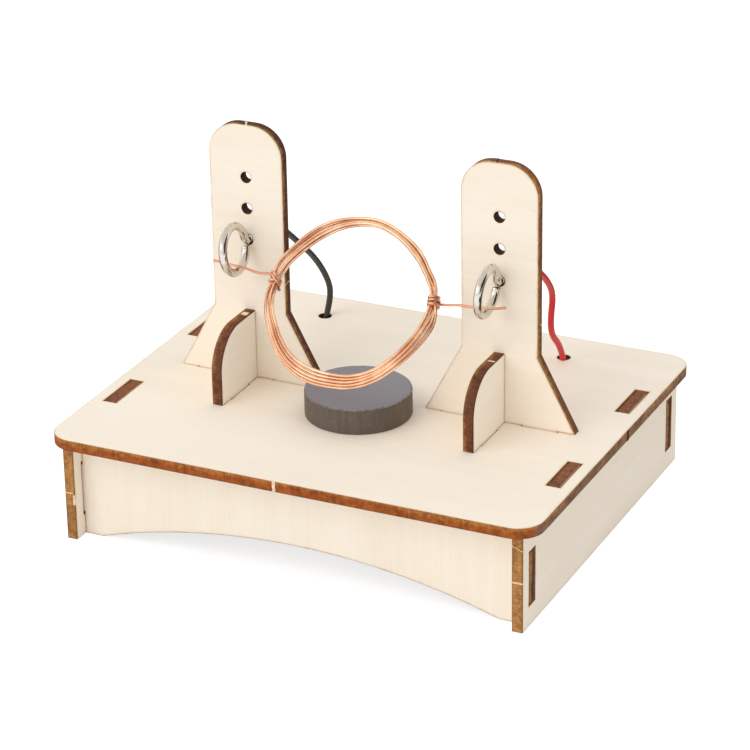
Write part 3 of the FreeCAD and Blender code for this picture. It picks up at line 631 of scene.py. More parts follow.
def node_bmesh(node):
    """A merged copy of a node's mesh, with its flat faces whole."""
    bm = bmesh.new()
    bm.from_mesh(frame["nodes"][node].data)
    bmesh.ops.remove_doubles(bm, verts=bm.verts, dist=WELD)
    bmesh.ops.dissolve_limit(bm, angle_limit=0.5 * DEGREE, verts=bm.verts, edges=bm.edges)
    return bm


def round_edges(bm, edges, width, segments=2):
    return bmesh.ops.bevel(bm, geom=list(edges), offset=width, offset_type="OFFSET",
                           segments=segments, profile=0.5, affect="EDGES", clamp_overlap=True,
                           material=-1)


def sharp_edges(bm, limit=SHARP):
    return [edge for edge in bm.edges
            if len(edge.link_faces) == 2 and edge.calc_face_angle(0.0) > limit]


def only(kind, geometry):
    return [item for item in geometry if isinstance(item, kind)]


def wire_piece(name, paths, width, material, body, slot, *nodes, order=4, sides=3):
    """Round wire along one or more open paths, with closed ends."""
    data = bpy.data.curves.new(name, "CURVE")
    data.dimensions = "3D"
    data.bevel_depth = width / 2
    data.bevel_resolution = sides
    data.use_fill_caps = True
    data.resolution_u = 4
    for path in paths:
        spline = data.splines.new("NURBS")
        spline.points.add(len(path) - 1)
        for point, place in zip(spline.points, path):
            point.co = (*place, 1.0)
        spline.order_u = order
        spline.use_endpoint_u = True
    data.materials.append(material)
    return finish_piece(name, data, body, slot, *nodes)


def turned_mesh(profile, segments):
    """A closed solid turned about X from an open profile of (x, radius) points."""
    bm = bmesh.new()
    verts = [bm.verts.new((x, 0.0, radius)) for x, radius in profile]
    edges = [bm.edges.new(pair) for pair in zip(verts, verts[1:])]
    bmesh.ops.spin(bm, geom=verts + edges, cent=(0, 0, 0), axis=(1, 0, 0), angle=math.tau,
                   steps=segments, use_merge=True)
    bmesh.ops.remove_doubles(bm, verts=bm.verts, dist=WELD)
    bmesh.ops.recalc_face_normals(bm, faces=bm.faces)
    return bm


# ---------------------------------------------------------------- plywood

VENEER, CUT, RAW, SOOT, TAB_END = range(5)   # the order of a sheet's materials
HOLE = 3 * MM                # a loop of cut faces narrower than this is a hole
RAGGED_TOP = 0.3, 1.3        # how low and how high a broken bridge's top is, in its heights
RAGGED_SIDE = 0.7, 1.15      # and how narrow and how wide its sides are, in its widths


def bridge(width, spot, outward, skew=0.0, low=-0.48, high=0.48, burnt=False):
    """A place where a bridge to the sheet broke, in mm.

    It is centred in its piece, so its place along the piece's normal is left at 0. Skew is how far
    it runs aside across the sheet, and low and high are its span in shares of the sheet.
    """
    return width * MM, Vector(spot) * MM, Vector(outward), skew * MM, low, high, burnt


def add_bridge(bm, middle, through, thickness, broken, chance):
    """A rough stub of raw wood on a cut edge, where a bridge to the sheet broke."""
    proud = settings("plywood").bridge_proud
    width, spot, outward, skew, low, high, burnt = broken
    spot = spot + through * (middle - spot).dot(through)
    along = outward.cross(through)
    stub = bmesh.new()
    bmesh.ops.create_cube(stub, size=1.0)
    bmesh.ops.subdivide_edges(stub, edges=stub.edges, cuts=5, use_grid_fill=True)
    for vert in stub.verts:
        x, y, z = vert.co
        height = proud * 2 * z * (chance.uniform(*RAGGED_TOP) if z > 0 else 1.0)
        share = low + (y + 0.5) * (high - low)
        side = width * x * chance.uniform(*RAGGED_SIDE) + skew * share
        vert.co = spot + along * side + through * (share * thickness) + outward * height
    bmesh.ops.recalc_face_normals(stub, faces=stub.faces)
    for face in stub.faces:
        face.material_index = SOOT if burnt else RAW
    mesh = mesh_from(stub, "stub")
    bm.from_mesh(mesh)
    bpy.data.meshes.remove(mesh)


def hole_faces(bm):
    """The cut faces that line small holes."""
    left = {face for face in bm.faces if face.material_index == CUT}
    found = []
    while left:
        loop = [left.pop()]
        for face in loop:
            for other in {other for edge in face.edges for other in edge.link_faces} & left:
                left.remove(other)
                loop.append(other)
        places = [vert.co for face in loop for vert in face.verts]
        if max(max(along) - min(along) for along in zip(*places)) < HOLE:
            found += loop
    return found


def sheet_piece(node, normal, materials, bridges, tab_axis):
    """A plywood piece: veneer with a smoked rim on its faces, and charred, rounded cuts.

    Where tab_axis is given, the cut faces along that axis are the ends of tabs.
    """
    plywood = settings("plywood")
    index = "XYZ".index(normal)
    low, high, middle = node_box(node)
    half = (high[index] - low[index]) / 2
    through = Vector([float(normal == letter) for letter in "XYZ"])
    bm = node_bmesh(node)
    flat = [face for face in bm.faces if abs(face.normal[index]) > FLAT]
    bmesh.ops.inset_region(bm, faces=flat, thickness=plywood.smoke_width, depth=0.0,
                           use_even_offset=True, use_boundary=True)
    round_edges(bm, [edge for edge in bm.edges if len(edge.link_faces) == 2
                     and sum(abs(face.normal[index]) > FLAT for face in edge.link_faces) == 1],
                plywood.edge_round)
    for face in bm.faces:
        face.material_index = VENEER if abs(face.normal[index]) > FLAT else CUT
        if tab_axis and abs(face.normal["XYZ".index(tab_axis)]) > FLAT:
            face.material_index = TAB_END
    for face in hole_faces(bm):
        face.material_index = SOOT
    chance = random.Random(node)
    for broken in bridges:
        add_bridge(bm, middle, through, 2 * half, broken, chance)
    smoke = bm.verts.layers.float.new("smoke")
    ply = bm.verts.layers.float.new("ply")
    for vert in bm.verts:
        vert[smoke] = float(any(face.material_index for face in vert.link_faces))
        vert[ply] = (vert.co[index] - middle[index]) / half
    return finish_mesh(node + "_ply", bm, materials, "plywood", node)


class MOTOR_OT_plywood(bpy.types.Operator):
    """Finish the nine plywood pieces of the stand"""

    bl_idname = "motor.plywood"
    bl_label = "Plywood"

    LEFT, RIGHT, FRONT, BACK, UP = (-1, 0, 0), (1, 0, 0), (0, -1, 0), (0, 1, 0), (0, 0, 1)

    # Each cut edge: the axes of its sheet, its colour, the side that the beam came in, its gilding.
    CUTS = {
        "deck": ("XYZ", "deck_front", 1, 0.55),
        "base": ("ZXY", "base_end", 0, 0.0),
        "base_end": ("YZX", "base_end", 0, 0.0),
        "left_upright": ("XZY", "left_edge", -1, 0.6),
        "right_upright": ("XZY", "right_edge", -1, 0.8),
        "gusset": ("YZX", "gusset_edge", -1, 0.45),
        "tab": ("YZX", "tab_end", 0, 0.0),
        # The side tabs' ends: painted shade for their recess in the side slots, darkest at the back,
        # and a golden front rim that paints the lit wall of the slot.
        "side_tab": ("ZXY", "side_tab_end_shade", -1, 0.8),
        "soot": ("XYZ", "soot", 0, 0.0),
    }

    # Each piece: the axes along its grain, across it and through the sheet, its cut edge, the
    # axis and the cut of its tabs' ends, and where its bridges broke.
    SHEETS = {
        "deck_plate": ("XYZ", "deck", None, None, [
            bridge(0.6, (-1.4, -39.7, 0), FRONT), bridge(0.8, (48.35, 4.7, 0), RIGHT, burnt=True),
            bridge(0.8, (-3.0, 39.7, 0), BACK), bridge(0.6, (-48.35, -2.0, 0), LEFT)]),
        "front_panel": ("ZXY", "base", "X", "side_tab", []),
        "rear_panel": ("ZXY", "base", "X", "side_tab", []),
        "left_side_panel": ("YZX", "base_end", "Z", "tab", [
            bridge(0.25, (0, -37.9, 9.4), FRONT, high=0.3),
            bridge(2.0, (0, -37.9, 8.1), FRONT, low=0.28, high=0.5),
            bridge(0.6, (0, 37.9, 8.8), BACK)]),
        "right_side_panel": ("YZX", "base_end", "Z", "tab", [
            bridge(0.14, (0, -37.9, 16.4), FRONT, skew=-0.8),
            bridge(0.3, (0, -37.9, 9.7), FRONT), bridge(0.5, (0, 37.9, 9.9), BACK)]),
        "left_upright": ("XZY", "left_upright", None, None, [
            bridge(0.4, (-25.5, 0, 71.6), UP, skew=1.0),
            bridge(0.12, (-17.9, 0, 41.2), RIGHT, skew=0.3), bridge(0.5, (-32.9, 0, 43.0), LEFT)]),
        "right_upright": ("XZY", "right_upright", None, None, [
            bridge(0.2, (24.6, 0, 71.6), UP, skew=0.6, burnt=True),
            bridge(0.3, (32.9, 0, 41.1), RIGHT, low=0.1), bridge(0.5, (17.9, 0, 42.6), LEFT)]),
        "left_gusset": ("YZX", "gusset", None, None, [
            bridge(1.3, (0, -3.4, 34.9), UP, skew=-0.3, low=-0.25, high=0.35)]),
        "right_gusset": ("YZX", "gusset", None, None, [
            bridge(0.3, (0, -5.2, 34.9), UP, low=-0.2, high=0.45)]),
    }

    def execute(self, context):
        plywood = settings("plywood")
        raw = raw_wood_material()
        veneers = {axes: veneer_material(axes) for axes in ("XYZ", "XZY", "YZX", "ZXY")}
        cuts = {}
        for cut, (axes, tone, beam_side, gilding) in self.CUTS.items():
            # Only the deck gets a painted shade tone on its ends.
            deck_end_shade_tone = plywood.deck_side_shade if cut == "deck" else None
            cuts[cut] = char_material(cut + "_cut", axes, getattr(plywood, tone), beam_side,
                                      gilding, deck_end_shade_tone)
        for node, (axes, cut, tab_axis, tab_cut, bridges) in self.SHEETS.items():
            materials = [veneers[axes], cuts[cut], raw, cuts["soot"]]
            if tab_axis:
                materials.append(cuts[tab_cut])
            sheet_piece(node, axes[2], materials, bridges, tab_axis)
        return {"FINISHED"}


# ---------------------------------------------------------------- screw eyes

EYE_SIDES = 20               # corners round a screw eye's wire and its core
RING_STEPS = 72              # sections round the ring
NECK_STEPS = 8               # sections round the bend into the shank
THREAD_STEPS = 18            # sections of the thread's ridge in a turn
END_ROUND = 0.13 * MM        # rounding of the wire's cut ends
BLUNT = 0.05 * MM            # radius of the screw's very point
RIDGE_SUNK = 0.05 * MM       # how deep the ridge's foot lies in the core
RIDGE_FOOT = 0.36            # half the width of its foot, as a share of the pitch
RIDGE_CREST = 0.03 * MM      # half the width of its crest
OVERLAP = 0.2 * MM           # extra length of the core, and how early the point's taper starts


def eye_bmesh(twist, centre):
    """A screw eye. It is made with its ring's centre at the origin and its shank along Y."""
    eye = settings("eyes")
    bm = bmesh.new()
    reach = eye.ring_radius + eye.neck_radius
    neck = math.sqrt(reach ** 2 - eye.neck_radius ** 2)
    meeting = math.asin(eye.neck_radius / reach)
    start = Vector((0, math.cos(eye.mouth), -math.sin(eye.mouth))) * eye.ring_radius
    facing = Matrix.Translation(start) @ Matrix.Rotation(-eye.mouth, 4, "X")
    made = bmesh.ops.create_circle(bm, cap_ends=True, radius=eye.wire / 2, segments=EYE_SIDES,
                                   matrix=facing)["verts"]
    bmesh.ops.delete(bm, geom=list(bm.faces), context="FACES_ONLY")
    first = list(bm.edges)
    loop = made + first
    for middle, turn, steps in (
            ((0, 0, 0), -(math.tau - eye.mouth - meeting), RING_STEPS),
            ((0, neck, eye.neck_radius), math.pi / 2 - meeting, NECK_STEPS)):
        loop = bmesh.ops.spin(bm, geom=loop, cent=middle, axis=(1, 0, 0), angle=turn,
                              steps=steps)["geom_last"]
    edges = only(bmesh.types.BMEdge, loop)
    shank = bmesh.ops.extrude_edge_only(bm, edges=edges)["geom"]
    bmesh.ops.translate(bm, verts=only(bmesh.types.BMVert, shank),
                        vec=(0, eye.thread_start - neck, 0))
    for rim in (first, only(bmesh.types.BMEdge, shank)):
        bmesh.ops.edgeloop_fill(bm, edges=rim)
    round_edges(bm, sharp_edges(bm, limit=60 * DEGREE), END_ROUND)
    add_thread(bm)
    bmesh.ops.recalc_face_normals(bm, faces=bm.faces)
    turn = Matrix.Translation(centre) @ Matrix.Rotation(twist, 4, "Y")
    bmesh.ops.transform(bm, matrix=turn, verts=bm.verts)
    return bm


def add_thread(bm):
    """The screw's core with its point, and the ridge that winds round it."""
    eye = settings("eyes")
    along_y = Matrix.Rotation(-math.pi / 2, 4, "X")
    core = eye.core / 2
    body_end = eye.thread_end - eye.point
    for far_radius, span, middle in (
            (core, body_end - eye.thread_start + OVERLAP, (eye.thread_start + body_end) / 2),
            (BLUNT, eye.point, body_end + eye.point / 2)):
        place = Matrix.Translation((0, middle, 0)) @ along_y
        bmesh.ops.create_cone(bm, cap_ends=True, segments=EYE_SIDES, radius1=core,
                              radius2=far_radius, depth=span, matrix=place)
    turns = (body_end + 0.5 * eye.point - eye.thread_start) / eye.pitch
    steps = int(turns * THREAD_STEPS)
    root, crest = core - RIDGE_SUNK, eye.thread / 2
    half = eye.pitch * RIDGE_FOOT
    corners = [(root, -half), (crest, -RIDGE_CREST), (crest, RIDGE_CREST), (root, half)]
    verts = [bm.verts.new((0, eye.thread_start + offset, radius)) for radius, offset in corners]
    edges = [bm.edges.new((verts[i], verts[(i + 1) % 4])) for i in range(4)]
    advance = (0, eye.pitch * turns / steps, 0)
    last = bmesh.ops.spin(bm, geom=verts + edges, cent=(0, 0, 0), axis=(0, 1, 0),
                          angle=math.tau * turns, steps=steps, dvec=advance)["geom_last"]
    for rim in (edges, only(bmesh.types.BMEdge, last)):
        bmesh.ops.edgeloop_fill(bm, edges=rim)
    taper_start = body_end - OVERLAP
    for vert in bm.verts:
        radius = math.hypot(vert.co.x, vert.co.z)
        past = (vert.co.y - taper_start) / eye.point
        if past > 0 and radius > 0.7 * core:
            shrink = max(0.12, 1.0 - past)
            vert.co.x *= shrink
            vert.co.z *= shrink


class MOTOR_OT_screw_eyes(bpy.types.Operator):
    """Make the two nickel-plated screw eyes"""

    bl_idname = "motor.screw_eyes"
    bl_label = "Screw eyes"

    def execute(self, context):
        eye = settings("eyes")
        material = metal_material("nickel", eye.nickel, 0.12, 0.18, 0.96)
        for word, twist in (("left", eye.left_twist), ("right", eye.right_twist)):
            node = f"{word}_screw_eye"
            low, high, middle = node_box(node)
            centre = Vector((middle.x, low.y + eye.ring_radius + eye.wire / 2, middle.z))
            finish_mesh(node + "_metal", eye_bmesh(twist, centre), (material,), "nickel", node)
        return {"FINISHED"}


# ---------------------------------------------------------------- magnet

class MOTOR_OT_magnet(bpy.types.Operator):
    """Make the ferrite disc with its chipped rims"""

    bl_idname = "motor.magnet"
    bl_label = "Disc magnet"

    CHIPS, GRAINS = 900, 2300   # waves to the metre of the rims' chips, coarse and fine

    def execute(self, context):
        magnet = settings("magnet")
        low, high, middle = node_box("disc_magnet")
        radius = (high.x - low.x) / 2
        bm = bmesh.new()
        bmesh.ops.create_cone(bm, cap_ends=True, segments=128, radius1=radius, radius2=radius,
                              depth=high.z - low.z, matrix=Matrix.Translation(middle))
        round_edges(bm, sharp_edges(bm), magnet.edge, segments=3)
        for vert in bm.verts:
            if 0 < high.z - vert.co.z < magnet.edge * 1.01:
                depth = (noise.noise(vert.co * self.CHIPS)
                         + 0.5 * noise.noise(vert.co * self.GRAINS))
                inward = (middle - vert.co).normalized()
                vert.co += inward * max(0.0, depth) * magnet.chip
        for face in bm.faces:
            face.material_index = 0 if abs(face.normal.z) > FLAT else 1
        finish_mesh("magnet_disc", bm, (ferrite_top_material(), ferrite_side_material()),
                    "ferrite", "disc_magnet")
        return {"FINISHED"}


# ---------------------------------------------------------------- coil

# The bundle's path between its bindings: share of the way, middle radius in mm, and how far the
# turns spread from it. The upper way runs over the top from left to right, the lower one back.
UPPER_WAY = [
    (0.00, 15.9, 0.0), (0.07, 15.9, 0.84), (0.13, 15.3, 0.9), (0.20, 15.0, 1.0),
    (0.29, 14.95, 1.05), (0.35, 14.9, 0.85), (0.44, 14.8, 0.58), (0.53, 14.88, 0.5),
    (0.62, 14.5, 0.44), (0.70, 14.35, 0.46), (0.76, 14.4, 0.6), (0.82, 14.6, 0.54),
    (0.88, 14.8, 0.42), (0.94, 15.6, 0.62), (1.00, 15.9, 0.0),
]
LOWER_WAY = [
    (0.00, 15.9, 0.0), (0.06, 16.1, 0.78), (0.125, 15.65, 0.74), (0.19, 15.3, 0.7),
    (0.26, 15.3, 0.64), (0.35, 15.88, 0.72), (0.44, 16.12, 0.88), (0.50, 15.88, 0.9),
    (0.60, 16.15, 1.0), (0.68, 16.28, 0.88), (0.76, 16.1, 0.8), (0.84, 16.0, 0.76),
    (0.90, 16.45, 0.76), (0.96, 16.4, 0.48), (1.00, 15.9, 0.0),
]

# Where each turn lies in the bundle halfway along, in mm: outwards, then the way the coil faces.
UPPER_PLACES = [(1.07, -0.30), (0.81, 0.30), (-0.14, -0.25), (-0.08, 0.35), (-0.77, -0.60),
                (-1.07, 0.10)]
LOWER_PLACES = [(1.12, 0.90), (0.70, 0.20), (0.08, -0.10), (-0.54, 0.15), (-1.20, -0.10)]
RIGHT_ORDER = [0, 1, 2, 4, 3, 5]   # place of each turn in the right binding's two rows
LEFT_ORDER = [0, 2, 1, 4, 3, 5]    # and in the left one's

WAY_STEPS = 24              # points along each way
LOOSENING = 0.10            # share of a way over which its turns leave their places in a binding
TIE_STEPS = 14              # points round each wrap of a binding
TIE_OVAL = 0.9, 1.4         # half the width of a wrap in mm: outwards, then the way the coil faces


def coil_axes():
    """The coil's centre, its two in-plane directions and the direction that it faces."""
    lean = settings("coil").lean
    centre = node_box("coil_winding")[2]
    upward = Vector((0, math.sin(lean), math.cos(lean)))
    facing = Vector((0, math.cos(lean), -math.sin(lean)))
    return centre, Vector((1, 0, 0)), upward, facing


def tie_angle(side):
    """Where round the coil the binding on a side lies, the left one a little low.

    Both are above the coil's middle, because the coil hangs below its axle.
    """
    coil = settings("coil")
    drop = (AXLE.z - node_box("coil_winding")[2].z) / math.cos(coil.lean)
    slant = math.asin(drop / coil.radius)
    return slant if side > 0 else math.pi - slant + coil.knot_slip


def along_way(way, share):
    """The middle radius and the spread at a share of the way."""
    for (start, *first), (stop, *last) in zip(way, way[1:]):
        if share <= stop:
            part = (share - start) / (stop - start)
            return [a + (b - a) * part for a, b in zip(first, last)]


def packed(place):
    """Where a wire lies in a tied bundle of two rows: outwards, then the way the coil faces."""
    wire = settings("coil").wire
    row, rank = divmod(place, 3)
    stagger = 0.25 if row else -0.25
    return (0.45 - 0.9 * row) * wire, (rank - 1 + stagger) * wire


def coil_path():
    """One wire that winds from the left binding over the top and round, to the right binding."""
    coil = settings("coil")
    centre, across, upward, facing = coil_axes()
    left, right = tie_angle(-1), tie_angle(1)
    ways = 2 * coil.turns - 1
    points = []
    for half_turn in range(ways):
        turn, lower = divmod(half_turn, 2)
        if lower:
            begin, end, way = right, left - math.tau, LOWER_WAY
            enter, leave = packed(RIGHT_ORDER[turn]), packed(LEFT_ORDER[turn + 1])
            loose = LOWER_PLACES[turn]
        else:
            begin, end, way = left, right, UPPER_WAY
            enter, leave = packed(LEFT_ORDER[turn]), packed(RIGHT_ORDER[turn])
            loose = UPPER_PLACES[turn]
        last = half_turn == ways - 1
        for step in range(WAY_STEPS + last):
            share = step / WAY_STEPS
            place = begin + (end - begin) * share
            middle, spread = along_way(way, share)
            tied = 1.0 - smooth(min(share, 1 - share) / LOOSENING)
            held = enter if share < 0.5 else leave
            stray = coil.wander * (1.0 - tied)
            out = held[0] * tied + loose[0] * MM * spread + stray * math.sin(2 * place + half_turn)
            side = (held[1] * tied + loose[1] * MM * (1.0 - tied)
                    + 1.5 * stray * math.sin(3 * place + 2.3 * half_turn))
            radial = math.cos(place) * across + math.sin(place) * upward
            points.append(centre + (middle * MM + out) * radial + side * facing)
    return points


def wraps(side, turns, start=0.0, pitch=0.6, shift=0.0, lean=0.0, lean_towards=0.0, tight=1.0):
    """Turns of wire round the bundle, in degrees and millimetres.

    They start at an angle from outwards, and lean along the bundle where they lean towards. They
    are oval, because the tied bundle is wider the way the coil faces.
    """
    centre, across, upward, facing = coil_axes()
    place = tie_angle(side)
    outward = math.cos(place) * across + math.sin(place) * upward
    along = -math.sin(place) * across + math.cos(place) * upward
    middle = centre + settings("coil").radius * outward
    points = []
    for step in range(int(turns * TIE_STEPS) + 1):
        wound = step / TIE_STEPS
        turn = start * DEGREE + math.tau * wound
        slide = (wound - turns / 2) * pitch + lean * math.cos(turn - lean_towards * DEGREE) + shift
        oval = (TIE_OVAL[0] * math.cos(turn) * outward
                + TIE_OVAL[1] * math.sin(turn) * facing)
        points.append(middle + tight * MM * oval + slide * MM * along)
    return points


class MOTOR_OT_coil(bpy.types.Operator):
    """Wind the coil, tie it at both sides and straighten its two ends into the axle"""

    bl_idname = "motor.coil"
    bl_label = "Coil"

    # Each axle end: share of the way from the binding to the screw eye, then how far the wire
    # lies behind and above the axle's line in mm; and how far its tip lies from that line.
    AXLE_WAVES = {
        -1: [(-0.14, 0.0, -0.2), (0.12, 0.0, -0.5), (0.38, -0.15, -0.65), (0.64, 0.1, -0.3)],
        1: [(-0.14, 0.1, -0.9), (0.10, 0.0, -0.75), (0.36, 0.1, -0.3), (0.62, -0.1, -0.3)],
    }
    AXLE_TIP = {-1: (0.1, 0.35), 1: (0.0, 0.7)}
    BEARING = 1.2 * MM   # half the straight stretch of an axle end inside its screw eye

    def execute(self, context):
        coil = settings("coil")
        copper = copper_material("enamelled_copper", coil.copper, 0.24, 0.36)
        tied = copper_material("tied_copper", coil.tied, 0.26, 0.38)
        scraped = copper_material("scraped_copper", coil.scraped, 0.35, 0.5)
        wire_piece("coil_turns", [coil_path()], coil.wire, copper, "rotor", "enamelled_copper",
                   "coil_winding")
        for name, paths, node in (
                ("right_binding_wraps", self.right_binding(), "right_coil_binding"),
                ("left_binding_knot", self.left_binding(), "left_coil_binding")):
            wire_piece(name, paths, coil.wire, tied, "rotor", "enamelled_copper", node, order=3)
        for side, word in ((-1, "left"), (1, "right")):
            wire_piece(f"{word}_axle_end", [self.axle_end(word, side)], coil.bare_wire, scraped,
                       "rotor", "bared_copper", f"{word}_axle_wire", order=3)
        return {"FINISHED"}

    def right_binding(self):
        """Neat wraps side by side, the last one a little apart."""
        return [wraps(1, 1.85, start=80, pitch=0.6, shift=-0.2),
                wraps(1, 1.0, start=0, pitch=0.15, shift=-1.24)]

    def left_binding(self):
        """Two slanting turns side by side over a lower one, whose short tail sticks out below."""
        _, across, upward, facing = coil_axes()
        under = wraps(-1, 1.2, start=334, pitch=0.2, shift=0.35, lean=-0.3, lean_towards=154,
                      tight=0.96)
        over = wraps(-1, 2.2, start=82, pitch=0.6, lean=0.8, lean_towards=154, tight=1.06)
        tail = over[-1]
        outward = (0.75 * across - 0.6 * upward - 0.3 * facing).normalized()
        over += [tail + outward * 0.2 * MM, tail + outward * 0.4 * MM]
        return [under, over]

    def axle_end(self, word, side):
        """A path from the binding to the free end, straight only inside the screw eye."""
        def beside(x, back=0.0, up=0.0):
            return Vector((x, AXLE.y + back * MM, AXLE.z + up * MM))

        low, high, _ = node_box(f"{word}_axle_wire")
        inner, outer = (high.x, low.x) if side < 0 else (low.x, high.x)
        eye_x = node_box(f"{word}_screw_eye")[2].x
        path = [beside(inner + (eye_x - inner) * share, back, up)
                for share, back, up in self.AXLE_WAVES[side]]
        return path + [beside(eye_x - self.BEARING * side), beside(eye_x + self.BEARING * side),
                       beside(outer, *self.AXLE_TIP[side])]


# ---------------------------------------------------------------- leads

# The routes of the leads, in millimetres: X from the upright's middle, Y, and the height above
# the deck's top face.
BLACK_ROUTE = [
    (1.5, 4.4, 27.9), (1.5, 8.4, 27.4), (1.2, 13.2, 24.0), (0.9, 19.0, 19.4), (0.6, 24.6, 15.0),
    (0.7, 29.4, 9.5), (0.7, 32.0, 4.6), (0.0, 30.2, -1.2), (-0.1, 29.8, -6.4),
    (-0.8, 27.6, -10.8), (-2.6, 23.2, -12.0), (-4.6, 18.5, -9.8), (-5.6, 14.0, -7.95),
    (-5.6, 10.0, -7.95),
]
RED_ROUTE = [
    (1.5, 4.4, 27.9), (1.5, 8.4, 27.4), (1.3, 13.4, 24.8), (1.1, 18.6, 20.8), (0.7, 23.0, 16.2),
    (0.4, 22.4, 11.2), (0.0, 23.9, 7.2), (0.2, 27.7, 3.6), (0.3, 30.2, -2.0),
    (0.0, 29.8, -7.8), (0.9, 27.0, -11.6), (2.9, 22.6, -12.4), (4.8, 18.3, -10.0),
    (5.6, 14.0, -7.95), (5.6, 10.0, -7.95),
]
STRANDS = 6   # strands of a bared end


def twisted(path, spread, twist):
    """Paths of strands laid round a path, a full turn for each twist of its length."""
    paths = [[] for _ in range(STRANDS)]
    gone = 0.0
    for index, point in enumerate(path):
        ahead = path[min(index + 1, len(path) - 1)] - path[max(index - 1, 0)]
        along = ahead.normalized()
        side = along.orthogonal().normalized() if index == 0 else side - along * side.dot(along)
        side.normalize()
        if index:
            gone += (point - path[index - 1]).length
        for strand, places in enumerate(paths):
            turn = math.tau * (strand / STRANDS + gone / twist)
            offset = side * math.cos(turn) + along.cross(side) * math.sin(turn)
            places.append(point + offset * spread)
    return paths


class MOTOR_OT_leads(bpy.types.Operator):
    """Lay the black and the red lead, and dress their bared ends"""

    bl_idname = "motor.leads"
    bl_label = "Leads"

    WRAP_TURNS = 2.25              # turns of a bared end round its screw eye's shank
    WRAP_STEPS = 16                # points round each of those turns
    BEAD = (0.85, 1.35, 0.42)      # half the size of a bead of solder, in mm

    def execute(self, context):
        leads = settings("leads")
        tin = metal_material("tinned_strands", leads.tin, 0.28, 0.42)
        for word, side, route, tone, rough in (
                ("black", "left", BLACK_ROUTE, leads.black, 0.42),
                ("red", "right", RED_ROUTE, leads.red, 0.3)):
            skin = plastic_material(f"{word}_insulation", tone, rough, rough + 0.12)
            upright_x = node_box(f"{side}_upright")[2].x
            points = [Vector((upright_x + x * MM, y * MM, DECK_HIGH.z + z * MM))
                      for x, y, z in route]
            lead = wire_piece(f"{word}_insulated_lead", [points], leads.width, skin, "stand",
                              f"{word}_insulation", f"{word}_lead", order=3, sides=6)
            self.strands(f"{word}_eye_wrap_strands", self.eye_wrap(word, side, points[0]), 3.2,
                         tin, f"{word}_lead_eye_wrap")
            self.tail(word, points[-1], tin)
        return {"FINISHED"}

    def strands(self, name, path, twist, tin, node):
        """A bared end: strands along a path, a full turn for each twist in mm."""
        leads = settings("leads")
        paths = twisted(path, leads.core / 2 - leads.strand / 2, twist * MM)
        wire_piece(name, paths, leads.strand, tin, "stand", "tinned_strands", node, order=3,
                   sides=1)

    def eye_wrap(self, word, side, start):
        """A path that winds round the screw's shank, then back into the insulation's start."""
        core = settings("leads").core
        low, high, _ = node_box(f"{word}_lead_eye_wrap")
        shank = Vector((node_box(f"{side}_screw_eye")[2].x, 0.0, start.z))
        reach = (high.z - low.z) / 2 - core / 2
        start_y = low.y + core / 2
        pitch = core * 0.9
        path = []
        for step in range(int(self.WRAP_TURNS * self.WRAP_STEPS) + 1):
            turn = math.tau * step / self.WRAP_STEPS + math.pi * 0.5
            path.append(shank + Vector((reach * math.sin(turn),
                                        start_y + pitch * step / self.WRAP_STEPS,
                                        reach * math.cos(turn))))
        return path + [start + Vector(offset) for offset in (
            (0.1 * MM, -0.9 * MM, -0.15 * MM), (0, -0.2 * MM, 0), (0, 0.8 * MM, 0))]

    def tail(self, word, end, tin):
        """Bared strands under the solder tab, with a bead of solder."""
        node = f"{word}_lead_tail"
        low, high, middle = node_box(node)
        path = [Vector((middle.x, y, middle.z))
                for y in (end.y + 0.8 * MM, high.y, middle.y, low.y)]
        self.strands(f"{word}_tail_strands", path, 4.0, tin, node)
        bead = bmesh.new()
        bmesh.ops.create_icosphere(bead, subdivisions=3, radius=1.0)
        for vert in bead.verts:
            swell = 1.0 + 0.12 * noise.noise(vert.co * 2.0)
            half = [at * reach for at, reach in zip(vert.co, self.BEAD)]
            vert.co = Vector(half) * swell * MM
        bmesh.ops.translate(bead, verts=bead.verts, vec=(middle.x, low.y + 1.3 * MM,
                                                         middle.z + 0.1 * MM))
        finish_mesh(f"{word}_solder_bead", bead, (tin,), "tinned_strands")


# ---------------------------------------------------------------- battery holder

